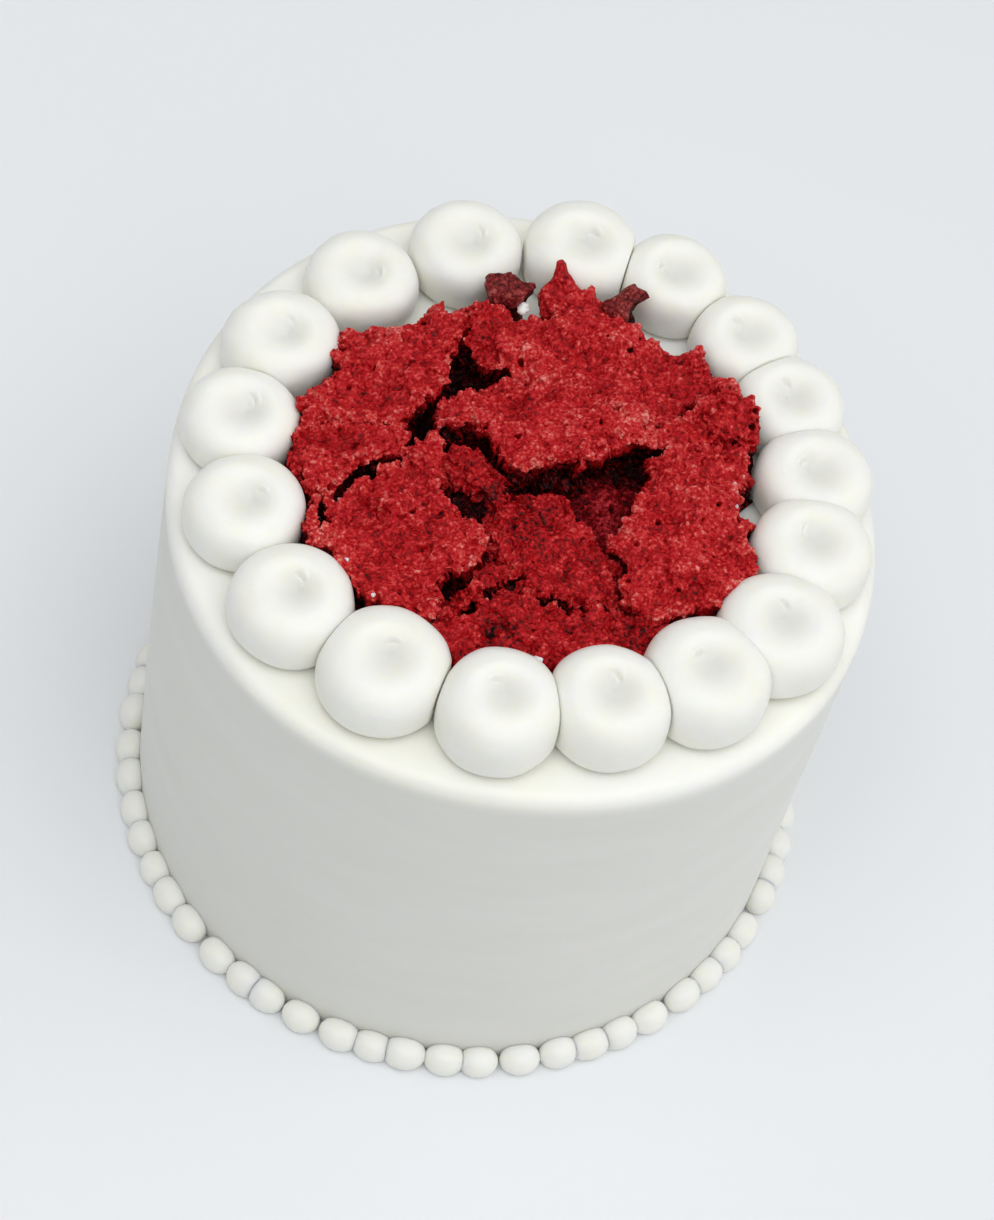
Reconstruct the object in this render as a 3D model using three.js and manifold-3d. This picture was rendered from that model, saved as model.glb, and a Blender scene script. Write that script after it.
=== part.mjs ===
// Red velvet cake: a tall round cake in smooth white frosting. A ring of piped dollops runs
// round the top, torn red sponge is heaped inside the ring, and a border of small piped beads
// runs round the foot.
//
// Millimetres, +Z up. The origin is the middle of the flat underside, and the front is -Y.

import * as THREE from 'three';
import { mergeVertices } from 'three/addons/utils/BufferGeometryUtils.js';
import Module from 'manifold-3d';

// ---- Driving dimensions ---------------------------------------------------------------

const cakeRadius = 80; // outside of the frosting at the top edge
const footRadius = 79.2; // the side leans in a little towards the foot
const cakeHeight = 120;
const edgeRounding = 3; // of the top edge
const footRounding = 0.8;
const cakeSpokes = 92;

// How the scraped edge departs from a true circle: waves round the cake, each with its number
// of crests, its height and the direction of its first crest.
const edgeWaves = [
  { crests: 2, height: 0.6, towards: -60 },
  { crests: 3, height: 0.55, towards: -15 },
  { crests: 4, height: 0.6, towards: -35 },
];

const gap = 0.3; // kept between touching pieces

// The dollops of the ring, anticlockwise from the front. Each was piped by hand, so each has
// its own middle, radius and height.
const dollopRows = [
  { x: 5.5, y: -62.1, radius: 13.6, height: 17.4 },
  { x: 27.6, y: -54.4, radius: 13.5, height: 16.8 },
  { x: 46.6, y: -42, radius: 14.3, height: 16.6 },
  { x: 60, y: -25.4, radius: 14.2, height: 15.5 },
  { x: 63.6, y: -2.3, radius: 13.7, height: 14.6 },
  { x: 61.4, y: 17.4, radius: 13.4, height: 13.6 },
  { x: 52.8, y: 36.4, radius: 12.8, height: 13.2 },
  { x: 40.2, y: 50.6, radius: 12.6, height: 14 },
  { x: 21.4, y: 63.4, radius: 12.6, height: 14 },
  { x: -0.6, y: 65, radius: 13.8, height: 14.8 },
  { x: -26.4, y: 57.8, radius: 13.2, height: 14 },
  { x: -47.4, y: 42.6, radius: 13, height: 12.6 },
  { x: -60.6, y: 19.4, radius: 13.2, height: 14 },
  { x: -64.2, y: -4, radius: 13.1, height: 13.4 },
  { x: -57.6, y: -27.2, radius: 13.4, height: 14 },
  { x: -42.4, y: -47.8, radius: 13.7, height: 14.8 },
  { x: -19.9, y: -58.5, radius: 14.4, height: 15.4 },
];
const craterRadius = 5.5; // the hollow that the nozzle leaves as it lifts off
const craterDepth = 2;
const dollopSpokes = 16;

const beadCount = 58;
const beadRing = 81.6; // from the middle of the cake to the middle of a bead
const beadHalfDepth = 4.6; // out from the foot
const beadHeight = 7.6;
const beadJoint = 0.86; // share of a bead's half length at which it runs into the next
const beadColumns = 4; // sections to each bead
const beadSections = 6; // points round each section

const bedThickness = 4; // fine crumb that lies under the torn pieces
const chunkSpokes = { large: 24, small: 14 };
const chunkSpread = 0.7; // the pieces settle outwards past their torn outline

// The torn pieces of sponge. Each has the outline of its broad torn top, seen from above, the
// height of the top over the frosting, and how steeply the top rises towards +X and +Y.
// "foot" is the size of its foot against its top, and "narrow" draws the top in to a point.
const chunks = [
  {
    name: 'sponge_back_lobe',
    top: 14,
    rise: [0.02, -0.03],
    foot: 0.92,
    outline: [
      [-23, 8], [-16, 17], [-9, 20], [10, 19], [20, 14], [13, 8],
      [13, 2], [8, -2], [-6, -4], [-10, -1], [-15, 4], [-21, 0],
    ],
  },
  {
    name: 'sponge_front_left',
    top: 11.5,
    rise: [0.12, 0.06],
    outline: [
      [-41, -23], [-33, -16], [-29, -11], [-27, -3], [-24, 1], [-20, -3], [-18, -8],
      [-17, -17], [-7, -21], [-4, -28], [-10, -35], [-14, -44], [-29, -45], [-38, -36],
    ],
  },
  {
    name: 'sponge_right',
    top: 13,
    rise: [0.03, 0.08],
    outline: [
      [24, 8], [35, 9], [45, 9], [48, -3], [50, -13], [48, -20], [41, -30],
      [33, -35], [26, -32], [23, -24], [19, -18], [24, -12], [23, -1],
    ],
  },
  {
    name: 'sponge_right_back',
    top: 15.5,
    rise: [0.08, 0.02],
    outline: [[24, 13], [31, 23], [37, 30], [43, 30], [46, 23], [46, 10], [35, 10], [25, 9]],
  },
  {
    name: 'sponge_back',
    top: 11.5,
    rise: [0.02, -0.02],
    outline: [
      [-22, 38], [-9, 41], [4, 45], [16, 43], [31, 40], [37, 34],
      [31, 22], [25, 14], [20, 15], [10, 21], [-9, 22], [-17, 20], [-21, 26],
    ],
  },
  {
    name: 'sponge_back_left',
    top: 12,
    rise: [0.07, 0.02],
    outline: [
      [-53, 0], [-47, 14], [-49, 22], [-37, 25], [-28, 35],
      [-23, 37], [-22, 30], [-24, 18], [-26, 8], [-33, 1], [-52, -5],
    ],
  },
  {
    name: 'sponge_left',
    top: 11,
    rise: [0.1, -0.05],
    outline: [[-52, -7], [-33, -1], [-28, -4], [-31, -12], [-38, -18], [-44, -22], [-52, -15]],
  },
  {
    name: 'sponge_middle_front',
    top: 9.5,
    rise: [-0.06, 0.08],
    outline: [
      [-2, -11], [3, -5], [8, -6], [12, -11], [18, -16], [23, -21],
      [24, -30], [9, -33], [-2, -33], [-3, -25], [-4, -19],
    ],
  },
  {
    name: 'sponge_middle',
    top: 10,
    rise: [0.12, 0.05],
    outline: [[-18, -4], [-14, 0], [-9, -1], [-4, -7], [-3, -15], [-6, -19], [-16, -15]],
  },
  {
    name: 'sponge_front_ridge',
    top: 9.5,
    rise: [0, 0],
    outline: [[-14, -43], [-10, -36], [-4, -30], [2, -28], [-2, -34], [-8, -41]],
  },
  {
    name: 'sponge_front',
    top: 7.5,
    rise: [0, 0.06],
    outline: [
      [-13, -44], [-7, -41], [0, -34], [24, -32], [33, -33],
      [31, -39], [15, -46], [2, -47], [-7, -50],
    ],
  },
  {
    name: 'sponge_sliver',
    top: 8.5,
    rise: [0, 0],
    outline: [[-46, -20], [-42, -22], [-40, -35], [-45, -33]],
  },
  {
    name: 'crumb_dark',
    top: 17,
    rise: [0.05, 0],
    outline: [[-20, 46], [-15, 49], [-9, 48], [-8, 43], [-15, 39], [-19, 41]],
  },
  {
    name: 'crumb_spike',
    top: 18,
    rise: [0, 0],
    narrow: 0.35,
    outline: [[-6, 52], [-1, 53], [3, 47], [0, 43], [-7, 43]],
  },
  {
    name: 'crumb_brown',
    top: 16,
    rise: [0.1, 0.05],
    outline: [[7, 46], [11, 51], [16, 50], [17, 46], [13, 42], [8, 43]],
  },
];

// The bed reaches this far from the middle in each of these directions, in equal steps.
const bedReach = [44, 41, 38, 36, 39, 44, 45, 42, 43, 42, 40, 41];

// ---- Colours and finishes -------------------------------------------------------------

const frosting = { color: 0xf1f1e8, roughness: 0.5, metalness: 0 };
const sponge = { color: 0xa81f20, roughness: 0.85, metalness: 0 };
const darkSponge = { color: 0x5c1416, roughness: 0.8, metalness: 0 };

// ---- Helpers --------------------------------------------------------------------------

const wasm = await Module();
wasm.setup();

// A seeded source of even random numbers from 0 to 1.
function seeded(seed) {
  let state = seed;
  return () => {
    state = (state + 0x6d2b79f5) | 0;
    let bits = Math.imul(state ^ (state >>> 15), 1 | state);
    bits = (bits + Math.imul(bits ^ (bits >>> 7), 61 | bits)) ^ bits;
    return ((bits ^ (bits >>> 14)) >>> 0) / 4294967296;
  };
}

// Joins the seam and the poles of a turned geometry, so that it is one closed skin.
function seal(geometry) {
  geometry.deleteAttribute('normal');
  geometry.deleteAttribute('uv');
  const merged = mergeVertices(geometry, 1e-4);
  const corners = merged.index.array;
  const kept = [];
  for (let i = 0; i < corners.length; i += 3) {
    const [a, b, c] = [corners[i], corners[i + 1], corners[i + 2]];
    if (a !== b && b !== c && c !== a) {
      kept.push(a, b, c);
    }
  }
  merged.setIndex(kept);
  return merged;
}

// Turns a profile of [radius, height] points round the upright axis, then moves every point
// to where the place function puts it, given its radius, its direction and its height.
// LatheGeometry turns about its own Y and starts at its Z, so height is y and direction is
// measured from z towards x.
function turned(profile, spokes, place) {
  const points = profile.map(([radius, height]) => new THREE.Vector2(radius, height));
  const geometry = seal(new THREE.LatheGeometry(points, spokes));
  const position = geometry.attributes.position;
  for (let i = 0; i < position.count; i += 1) {
    const [x, y, z] = [position.getX(i), position.getY(i), position.getZ(i)];
    position.setXYZ(i, ...place(Math.hypot(x, z), Math.atan2(x, z), y));
  }
  return geometry;
}

function toSolid(geometry) {
  const vertProperties = new Float32Array(geometry.attributes.position.array);
  const triVerts = new Uint32Array(geometry.index.array);
  return new wasm.Manifold(new wasm.Mesh({ numProp: 3, vertProperties, triVerts }));
}

function toGeometry(solid) {
  const { vertProperties, triVerts } = solid.getMesh();
  const geometry = new THREE.BufferGeometry();
  geometry.setAttribute('position', new THREE.BufferAttribute(vertProperties, 3));
  geometry.setIndex(new THREE.BufferAttribute(triVerts, 1));
  return geometry;
}

// The largest of the bodies that a cut leaves, without its loose scraps.
function largest(solid) {
  const bodies = solid.decompose();
  return bodies.reduce((best, body) => (body.volume() > best.volume() ? body : best));
}

function addPiece(group, name, geometry, finish) {
  geometry.computeVertexNormals();
  const piece = new THREE.Mesh(geometry, new THREE.MeshStandardMaterial(finish));
  piece.name = name;
  group.add(piece);
}

const degrees = (angle) => THREE.MathUtils.degToRad(angle);

// ---- The frosted cake -----------------------------------------------------------------

// How far the frosting stands out from a true circle in a direction.
function edgeUnevenness(direction) {
  return edgeWaves.reduce(
    (sum, wave) => sum + wave.height * Math.cos(wave.crests * (direction - degrees(wave.towards))),
    0,
  );
}

// The side goes straight up from the foot to a small round edge, and the top is flat.
// Its unevenness fades out downwards, where the side was scraped truer.
function frostedCake() {
  const rounding = [0, 30, 60, 90].map((angle) => [
    cakeRadius - edgeRounding * (1 - Math.cos(degrees(angle))),
    cakeHeight - edgeRounding * (1 - Math.sin(degrees(angle))),
  ]);
  const profile = [
    [0, 0],
    [footRadius - footRounding, 0],
    [footRadius, footRounding],
    [(footRadius + cakeRadius) / 2, cakeHeight / 2],
    ...rounding,
    [0, cakeHeight],
  ];
  return turned(profile, cakeSpokes, (radius, direction, height) => {
    const out = radius + (radius / cakeRadius) * (height / cakeHeight) ** 2 * edgeUnevenness(direction);
    return [out * Math.cos(direction), out * Math.sin(direction), height];
  });
}

// ---- The ring of dollops --------------------------------------------------------------

const dollops = dollopRows.map((row, i) => ({ name: `dollop_${String(i + 1).padStart(2, '0')}`, ...row }));

// A dollop bulges out from a smaller foot, rounds over and sinks into its crater. Where it
// meets the dollop on either side, both are pressed flat against an upright plane halfway
// between their middles.
function dollopGeometry(index, grow = 0) {
  const dollop = dollops[index];
  const { radius, height } = dollop;
  const profile = [
    [0, 0],
    [0.84 * radius, 0],
    [0.98 * radius, 0.22 * height],
    [radius, 0.4 * height],
    [0.92 * radius, 0.66 * height],
    [0.72 * radius, 0.88 * height],
    [craterRadius + 1, height],
    [0.55 * craterRadius, height - 0.6 * craterDepth],
    [0, height - craterDepth],
  ];
  const walls = [dollops.at(index - 1), dollops[(index + 1) % dollops.length]].map((other) => {
    const apart = Math.hypot(other.x - dollop.x, other.y - dollop.y);
    return {
      towardsX: (other.x - dollop.x) / apart,
      towardsY: (other.y - dollop.y) / apart,
      reach: (apart - gap) / 2,
    };
  });
  return turned(profile, dollopSpokes, (ring, direction, level) => {
    const out = ring > 0 ? ring + grow : 0;
    let x = out * Math.cos(direction);
    let y = out * Math.sin(direction);
    for (const { towardsX, towardsY, reach } of walls) {
      const past = x * towardsX + y * towardsY - reach;
      if (past > 0) {
        x -= past * towardsX;
        y -= past * towardsY;
      }
    }
    const lift = level > 0 ? grow : -grow;
    return [dollop.x + x, dollop.y + y, cakeHeight + gap + level + lift];
  });
}

// ---- The heap of torn sponge ----------------------------------------------------------

// How far an outline reaches from its own middle in a direction: the furthest crossing of a
// ray from the middle with the outline's edges.
function reachOf(outline, middle) {
  return (direction) => {
    const [rayX, rayY] = [Math.cos(direction), Math.sin(direction)];
    let reach = 0;
    outline.forEach(([ax, ay], i) => {
      const [bx, by] = outline[(i + 1) % outline.length];
      const [startX, startY] = [ax - middle[0], ay - middle[1]];
      const [edgeX, edgeY] = [bx - ax, by - ay];
      const across = rayX * edgeY - rayY * edgeX;
      const along = (startX * edgeY - startY * edgeX) / across;
      const share = (startX * rayY - startY * rayX) / across;
      if (share >= 0 && share <= 1 && along > reach) {
        reach = along;
      }
    });
    return reach;
  };
}

// A torn piece stands on the frosting. Its wall is drawn in at the middle, so that the torn
// top overhangs a little, and the top is lumpy and leans. The random draw is the same however
// far the piece is grown, so that a grown copy clears the piece evenly.
function chunkGeometry(chunk, seed, grow = 0) {
  const random = seeded(seed);
  const { outline, top, rise, foot = 1.05, narrow = 1 } = chunk;
  const middle = [0, 1].map((axis) => outline.reduce((sum, at) => sum + at[axis], 0) / outline.length);
  const reach = reachOf(outline, middle);
  const lump = Math.min(1.6, 0.14 * top);
  const profile = [
    [0, 0],
    [foot, 0],
    [(1 + foot) / 2 - 0.04, 0.45],
    [1, 0.88],
    [0.95 * narrow, 0.98],
    [0.55 * narrow, 1],
    [0, 1],
  ];
  const spokes = outline.length > 6 ? chunkSpokes.large : chunkSpokes.small;
  return turned(profile, spokes, (share, direction, level) => {
    const ragged = 1 + 0.06 * (random() - 0.5);
    const out = share > 0 ? share * (ragged * reach(direction) + chunkSpread) + grow : 0;
    const [dx, dy] = [out * Math.cos(direction), out * Math.sin(direction)];
    const surface = top + dx * rise[0] + dy * rise[1] + lump * (random() - 0.5);
    const lift = level > 0 ? level * surface + grow : -grow;
    return [middle[0] + dx, middle[1] + dy, cakeHeight + gap + lift];
  });
}

// The bed of fine crumb: low, with an uneven rim, and seen only down the cracks.
function bedGeometry(grow = 0) {
  const step = (2 * Math.PI) / bedReach.length;
  const profile = [[0, 0], [1, 0], [0.97, 0.7], [0.9, 1], [0.5, 1.05], [0, 1]];
  return turned(profile, 2 * bedReach.length, (share, direction, level) => {
    const place = ((direction + 2 * Math.PI) % (2 * Math.PI)) / step;
    const lower = bedReach[Math.floor(place) % bedReach.length];
    const upper = bedReach[Math.ceil(place) % bedReach.length];
    const reach = lower + (upper - lower) * (place - Math.floor(place));
    const out = share > 0 ? share * reach + grow : 0;
    const lift = level > 0 ? level * bedThickness + grow : -grow;
    return [out * Math.cos(direction), out * Math.sin(direction), cakeHeight + gap + lift];
  });
}

// ---- The border of beads --------------------------------------------------------------

// Piped dots that run into one another round the foot and press against the side and down on
// the ground. The border is a ring whose section swells at each bead and closes in between
// two beads, flat underneath and flat against the side.
function beadBorder() {
  const random = seeded(beadCount);
  const sizes = Array.from({ length: beadCount }, () => 1 + 0.12 * (random() - 0.5));
  const geometry = seal(new THREE.TorusGeometry(beadRing, 1, beadSections, beadColumns * beadCount));
  const position = geometry.attributes.position;
  for (let i = 0; i < position.count; i += 1) {
    const [x, y, z] = [position.getX(i), position.getY(i), position.getZ(i)];
    const direction = Math.atan2(y, x);
    const section = Math.atan2(z, Math.hypot(x, y) - beadRing);
    const along = ((direction / (2 * Math.PI) + 1) % 1) * beadCount;
    const bead = Math.floor(along + 1e-4) % beadCount;
    const fromMiddle = 2 * (along + 1e-4 - Math.floor(along + 1e-4)) - 1;
    const joint = Math.abs(fromMiddle) > 0.99;
    const size = joint ? 1 : sizes[bead];
    const swell = size * Math.sqrt(1 - (beadJoint * fromMiddle) ** 2);
    const out = beadRing + beadHalfDepth * swell * Math.cos(section);
    const up = beadHeight * swell * (0.45 + 0.55 * Math.sin(section));
    const ring = Math.max(out, footRadius + 1.5 * gap);
    position.setXYZ(i, ring * Math.cos(direction), ring * Math.sin(direction), Math.max(up, 0));
  }
  return geometry;
}

// ---- The whole cake -------------------------------------------------------------------

const cake = new THREE.Group();
addPiece(cake, 'frosted_cake', frostedCake(), frosting);
addPiece(cake, 'bead_border', beadBorder(), frosting);
dollops.forEach((dollop, i) => addPiece(cake, dollop.name, dollopGeometry(i), frosting));

const bed = bedGeometry();
addPiece(cake, 'sponge_bed', bed, sponge);

// Each torn piece is cut clear of the bed, of the dollops and of the pieces before it.
const cutters = [toSolid(bedGeometry(gap)), ...dollops.map((_, i) => toSolid(dollopGeometry(i, gap)))];
chunks.forEach((chunk, i) => {
  const whole = toSolid(chunkGeometry(chunk, 100 + i));
  const cut = cutters.reduce((left, cutter) => left.subtract(cutter), whole);
  const finish = chunk.name === 'crumb_dark' ? darkSponge : sponge;
  addPiece(cake, chunk.name, toGeometry(largest(cut)), finish);
  cutters.push(toSolid(chunkGeometry(chunk, 100 + i, gap)));
});

export default cake;
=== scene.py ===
# %% [markdown]
# # A red velvet cake
#
# The real thing is a tall round cake under smooth white frosting. A ring of piped dollops
# runs round the top, torn red sponge is heaped inside the ring, and small piped beads run
# round the foot. The solids come first, as a fixed frame in metres: the pieces made here
# take their places and carry the looks.

# %% Load the frame
import bpy
import numpy as np
from mathutils import Matrix, Vector


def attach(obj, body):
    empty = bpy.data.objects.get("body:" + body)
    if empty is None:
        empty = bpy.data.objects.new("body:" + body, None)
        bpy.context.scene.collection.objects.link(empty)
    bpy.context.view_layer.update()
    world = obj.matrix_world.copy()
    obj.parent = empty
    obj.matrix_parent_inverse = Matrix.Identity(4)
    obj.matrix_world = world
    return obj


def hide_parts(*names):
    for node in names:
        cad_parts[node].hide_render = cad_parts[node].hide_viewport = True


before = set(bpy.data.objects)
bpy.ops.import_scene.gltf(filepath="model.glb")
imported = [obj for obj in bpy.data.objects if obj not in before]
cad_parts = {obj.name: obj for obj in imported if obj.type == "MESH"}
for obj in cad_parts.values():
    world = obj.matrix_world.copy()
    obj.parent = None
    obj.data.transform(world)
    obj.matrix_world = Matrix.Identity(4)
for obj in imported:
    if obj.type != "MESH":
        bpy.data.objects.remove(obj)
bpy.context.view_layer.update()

MM = 0.001

# %% [markdown]
# ## The camera
#
# The camera looks down at the cake from in front, a little under a metre away, through a
# long lens, and it is rolled so that the cake leans to the left. It could be aimed by eye
# with a Track To constraint. Here its three axes were worked out once from the ellipses of
# the top and the foot, because the roll and the steepness matter as much as the aim.

# %% Camera
camera = bpy.data.objects.new("camera", bpy.data.cameras.new("camera"))
camera.data.lens = 99.5  # on a 36 mm sensor
camera.data.sensor_width = 36
camera.data.clip_start, camera.data.clip_end = 0.05, 20
CAMERA_AXES = np.array([
    [0.97118, -0.23836, 0.0],
    [0.19625, 0.79960, -0.56756],
    [0.13528, 0.55120, 0.82333],
])
CAMERA_PLACE = (0.06, -444.23, 717.32)
camera.matrix_world = Matrix.Translation(Vector(CAMERA_PLACE) * MM) @ Matrix(CAMERA_AXES).to_4x4()
bpy.context.scene.collection.objects.link(camera)
bpy.context.scene.camera = camera
print("camera", round(Vector(CAMERA_PLACE).length), "mm from the foot of the cake")

# %% [markdown]
# ## Helpers for finishes
#
# A finish is a small tree of nodes. Colours are written as the hex values that a colour
# picker shows, and one function turns them into the linear values that Blender mixes.
# Another adds a node with its settings and links in one call, which keeps a tree as short
# to write as it is to draw in the shader editor.

# %% Colour and node helpers
def linear(hex_colour):
    """An sRGB hex value as linear red, green, blue and 1."""
    values = np.array([int(hex_colour[i : i + 2], 16) for i in (1, 3, 5)]) / 255
    return (*np.where(values <= 0.04045, values / 12.92, ((values + 0.055) / 1.055) ** 2.4), 1)


def add(tree, kind, sockets=None, **settings):
    """Adds a node with its settings. A socket given another node's output is linked to it,
    and any other value is set."""
    made = tree.nodes.new(kind)
    for name, value in settings.items():
        setattr(made, name, value)
    for name, value in (sockets or {}).items():
        if isinstance(value, bpy.types.NodeSocket):
            tree.links.new(value, made.inputs[name])
        else:
            made.inputs[name].default_value = value
    return made


def new_material(name):
    """An empty material with its output node, its tree and its Object coordinates."""
    material = bpy.data.materials.new(name)
    material.use_nodes = True
    tree = material.node_tree
    tree.nodes.clear()
    output = add(tree, "ShaderNodeOutputMaterial")
    place = add(tree, "ShaderNodeTexCoord").outputs["Object"]
    return material, tree, output, place


def ramp(tree, value, stops):
    """Colours at places from 0 to 1, blended between them."""
    made = add(tree, "ShaderNodeValToRGB", {"Fac": value})
    elements = made.color_ramp.elements
    while len(elements) < len(stops):
        elements.new(0.5)
    for element, (position, colour) in zip(elements, stops):
        element.position, element.color = position, linear(colour)
    return made.outputs["Color"]


# %% [markdown]
# ## The light
#
# The light of a bright studio comes mostly from overhead, so the top is almost white and the
# upright side stays a soft grey. A row of lamps could give it, but then every dollop would
# show a row of shadows. One large soft box and an even sky, brighter towards the right, give
# shadows without an edge.

# %% Light
def soft_box(name, place, towards, size, watts, colour):
    """A square lamp at a place in metres, turned to face the point it shines towards."""
    lamp = bpy.data.lights.new(name, "AREA")
    lamp.shape, lamp.size, lamp.energy, lamp.color = "SQUARE", size, watts, colour
    made = bpy.data.objects.new(name, lamp)
    facing = (Vector(towards) - Vector(place)).to_track_quat("-Z", "Y").to_matrix().to_4x4()
    made.matrix_world = Matrix.Translation(place) @ facing
    bpy.context.scene.collection.objects.link(made)
    print(name, watts, "W,", size, "m across")


soft_box("overhead_light", (0, -0.45, 1.4), (0, 0, 0.1), 1.3, 8.5, (0.96, 0.98, 1.0))


def studio_sky(zenith=0.84, sides=0.56, to_right=0.27):
    """White walls and ceiling: strength zenith * up^2 + sides * |across| + to_right * across,
    where up and across are the parts of a direction along Z and X."""
    sky = bpy.data.worlds.new("studio")
    sky.use_nodes = True
    tree = sky.node_tree
    tree.nodes.clear()
    output = add(tree, "ShaderNodeOutputWorld")
    across, _, up = add(tree, "ShaderNodeSeparateXYZ", {
        "Vector": add(tree, "ShaderNodeTexCoord").outputs["Generated"],
    }).outputs
    above = add(tree, "ShaderNodeMath", {0: up, 1: 0.0}, operation="MAXIMUM").outputs[0]
    overhead = add(tree, "ShaderNodeMath", {0: above, 1: 2.0}, operation="POWER").outputs[0]
    beside = add(tree, "ShaderNodeMath", {0: across}, operation="ABSOLUTE").outputs[0]
    strength = 0.0
    for part, share in ((across, to_right), (beside, sides), (overhead, zenith)):
        strength = add(tree, "ShaderNodeMath", {
            0: part, 1: share, 2: strength,
        }, operation="MULTIPLY_ADD").outputs[0]
    light = add(tree, "ShaderNodeBackground", {
        "Color": (0.985, 0.99, 0.985, 1), "Strength": strength,
    })
    tree.links.new(light.outputs["Background"], output.inputs["Surface"])
    bpy.context.scene.world = sky
    print("sky", zenith, sides, to_right)


studio_sky()
bpy.context.scene.view_settings.view_transform = "Standard"

# %% [markdown]
# ## Noise
#
# Everything on this cake is soft or crumbly, so every piece is a skin of points worked out
# with numpy. Frosting needs smooth formulas. Sponge needs roughness at many sizes at once,
# and two kinds of noise give it: a soft one for lumps, and one made of scattered grains for
# crumbs and air holes. Blender's own noise would do for one point at a time, but these take
# a million at once. All lengths from here on are millimetres.

# %% Noise
BITS = 0xFFFFFFFF  # the 32 bits that the random numbers are stirred in


def cell_random(cells, seed):
    """One even random number from 0 to 1 for each whole-numbered cell: its x, y, z and the
    seed are multiplied by large odd numbers, added, and stirred by shifts, modulo 2**32."""
    x, y, z = np.moveaxis(cells.astype(np.int64), -1, 0)
    bits = (x * 0x8DA6B343 + y * 0xD8163841 + z * 0xCB1AB31F + seed * 0x9E3779B1) & BITS
    bits = ((bits ^ (bits >> 15)) * 0x2C1B3C6D) & BITS
    bits = ((bits ^ (bits >> 12)) * 0x297A2D39) & BITS
    return (bits ^ (bits >> 15)) / (BITS + 1)


def soft_noise(points, size, seed):
    """From -1 to 1: the corners of cubes of this size hold random numbers, and a point blends
    its cube's eight numbers by 3t² - 2t³ of how far it lies along each edge."""
    scaled = points / size
    corner = np.floor(scaled)
    t = scaled - corner
    t = t * t * (3 - 2 * t)
    total = 0
    for step in np.ndindex(2, 2, 2):
        weight = np.prod(np.where(step, t, 1 - t), axis=-1)
        total = total + weight * cell_random(corner + step, seed)
    return 2 * total - 1


def rough_noise(points, size, seed, octaves=3):
    """Soft noise plus half as much of it at half the size, and so on for each octave."""
    return sum(soft_noise(points, size / 2**k, seed + k) / 2**k for k in range(octaves))


def grains(points, size, seed):
    """Grains lie one to a cube of this size, each at a random place in it. Gives the distance
    from every point to its nearest grain, in millimetres, and that grain's random number from
    0 to 1, found among the 27 cubes round the point."""
    home = np.floor(points / size)
    nearest, number = np.full(points.shape[:-1], np.inf), np.zeros(points.shape[:-1])
    for step in np.ndindex(3, 3, 3):
        cube = home + step - 1
        place = np.stack([cell_random(cube, seed + axis) for axis in (0, 1, 2)], axis=-1)
        distance = np.linalg.norm((cube + place) * size - points, axis=-1)
        closer = distance < nearest
        nearest = np.where(closer, distance, nearest)
        number = np.where(closer, place[..., 0], number)
    return nearest, (number * 7919) % 1  # stirred, as it was also the grain's place along x


def smooth_step(low, high, value):
    """0 below low, 1 above high, and 3t² - 2t³ between them."""
    t = np.clip((value - low) / (high - low), 0, 1)
    return t * t * (3 - 2 * t)


# %% [markdown]
# ## Skins
#
# Points alone are not a surface. A round piece is made of rings of points from its foot to
# its crown, and a loose crumb of a square grid that is pulled into a disc and hung with a
# wall. Both could come from extruded and subdivided circles, but worked out as arrays they
# close at their poles and face outwards by the order of their corners alone.

# %% Skins
def ring_skin(rings):
    """Faces for rings of points, lowest first, each running anticlockwise seen from above.
    The first and last rings are single points, so the skin closes at both poles."""
    rows, spokes = rings.shape[:2]
    points = np.concatenate([rings[0, :1], rings[1:-1].reshape(-1, rings.shape[2]), rings[-1, :1]])
    ids = 1 + np.arange((rows - 2) * spokes).reshape(rows - 2, spokes)
    on = np.roll(ids, -1, axis=1)
    quads = np.stack([ids[:-1], on[:-1], on[1:], ids[1:]], axis=-1).reshape(-1, 4)
    foot = np.stack([np.zeros(spokes, int), on[0], ids[0]], axis=-1)
    crown = np.stack([np.full(spokes, len(points) - 1), ids[-1], on[-1]], axis=-1)
    return points, quads, np.concatenate([foot, crown])


def joined(skins):
    """Several skins as one: each one's point numbers follow the last one's."""
    starts = np.cumsum([0] + [len(points) for points, _, _ in skins])
    points = np.concatenate([skin[0] for skin in skins])
    faces = [
        np.concatenate([skin[part] + start for skin, start in zip(skins, starts)]) for part in (1, 2)
    ]
    return [points, *faces]


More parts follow.
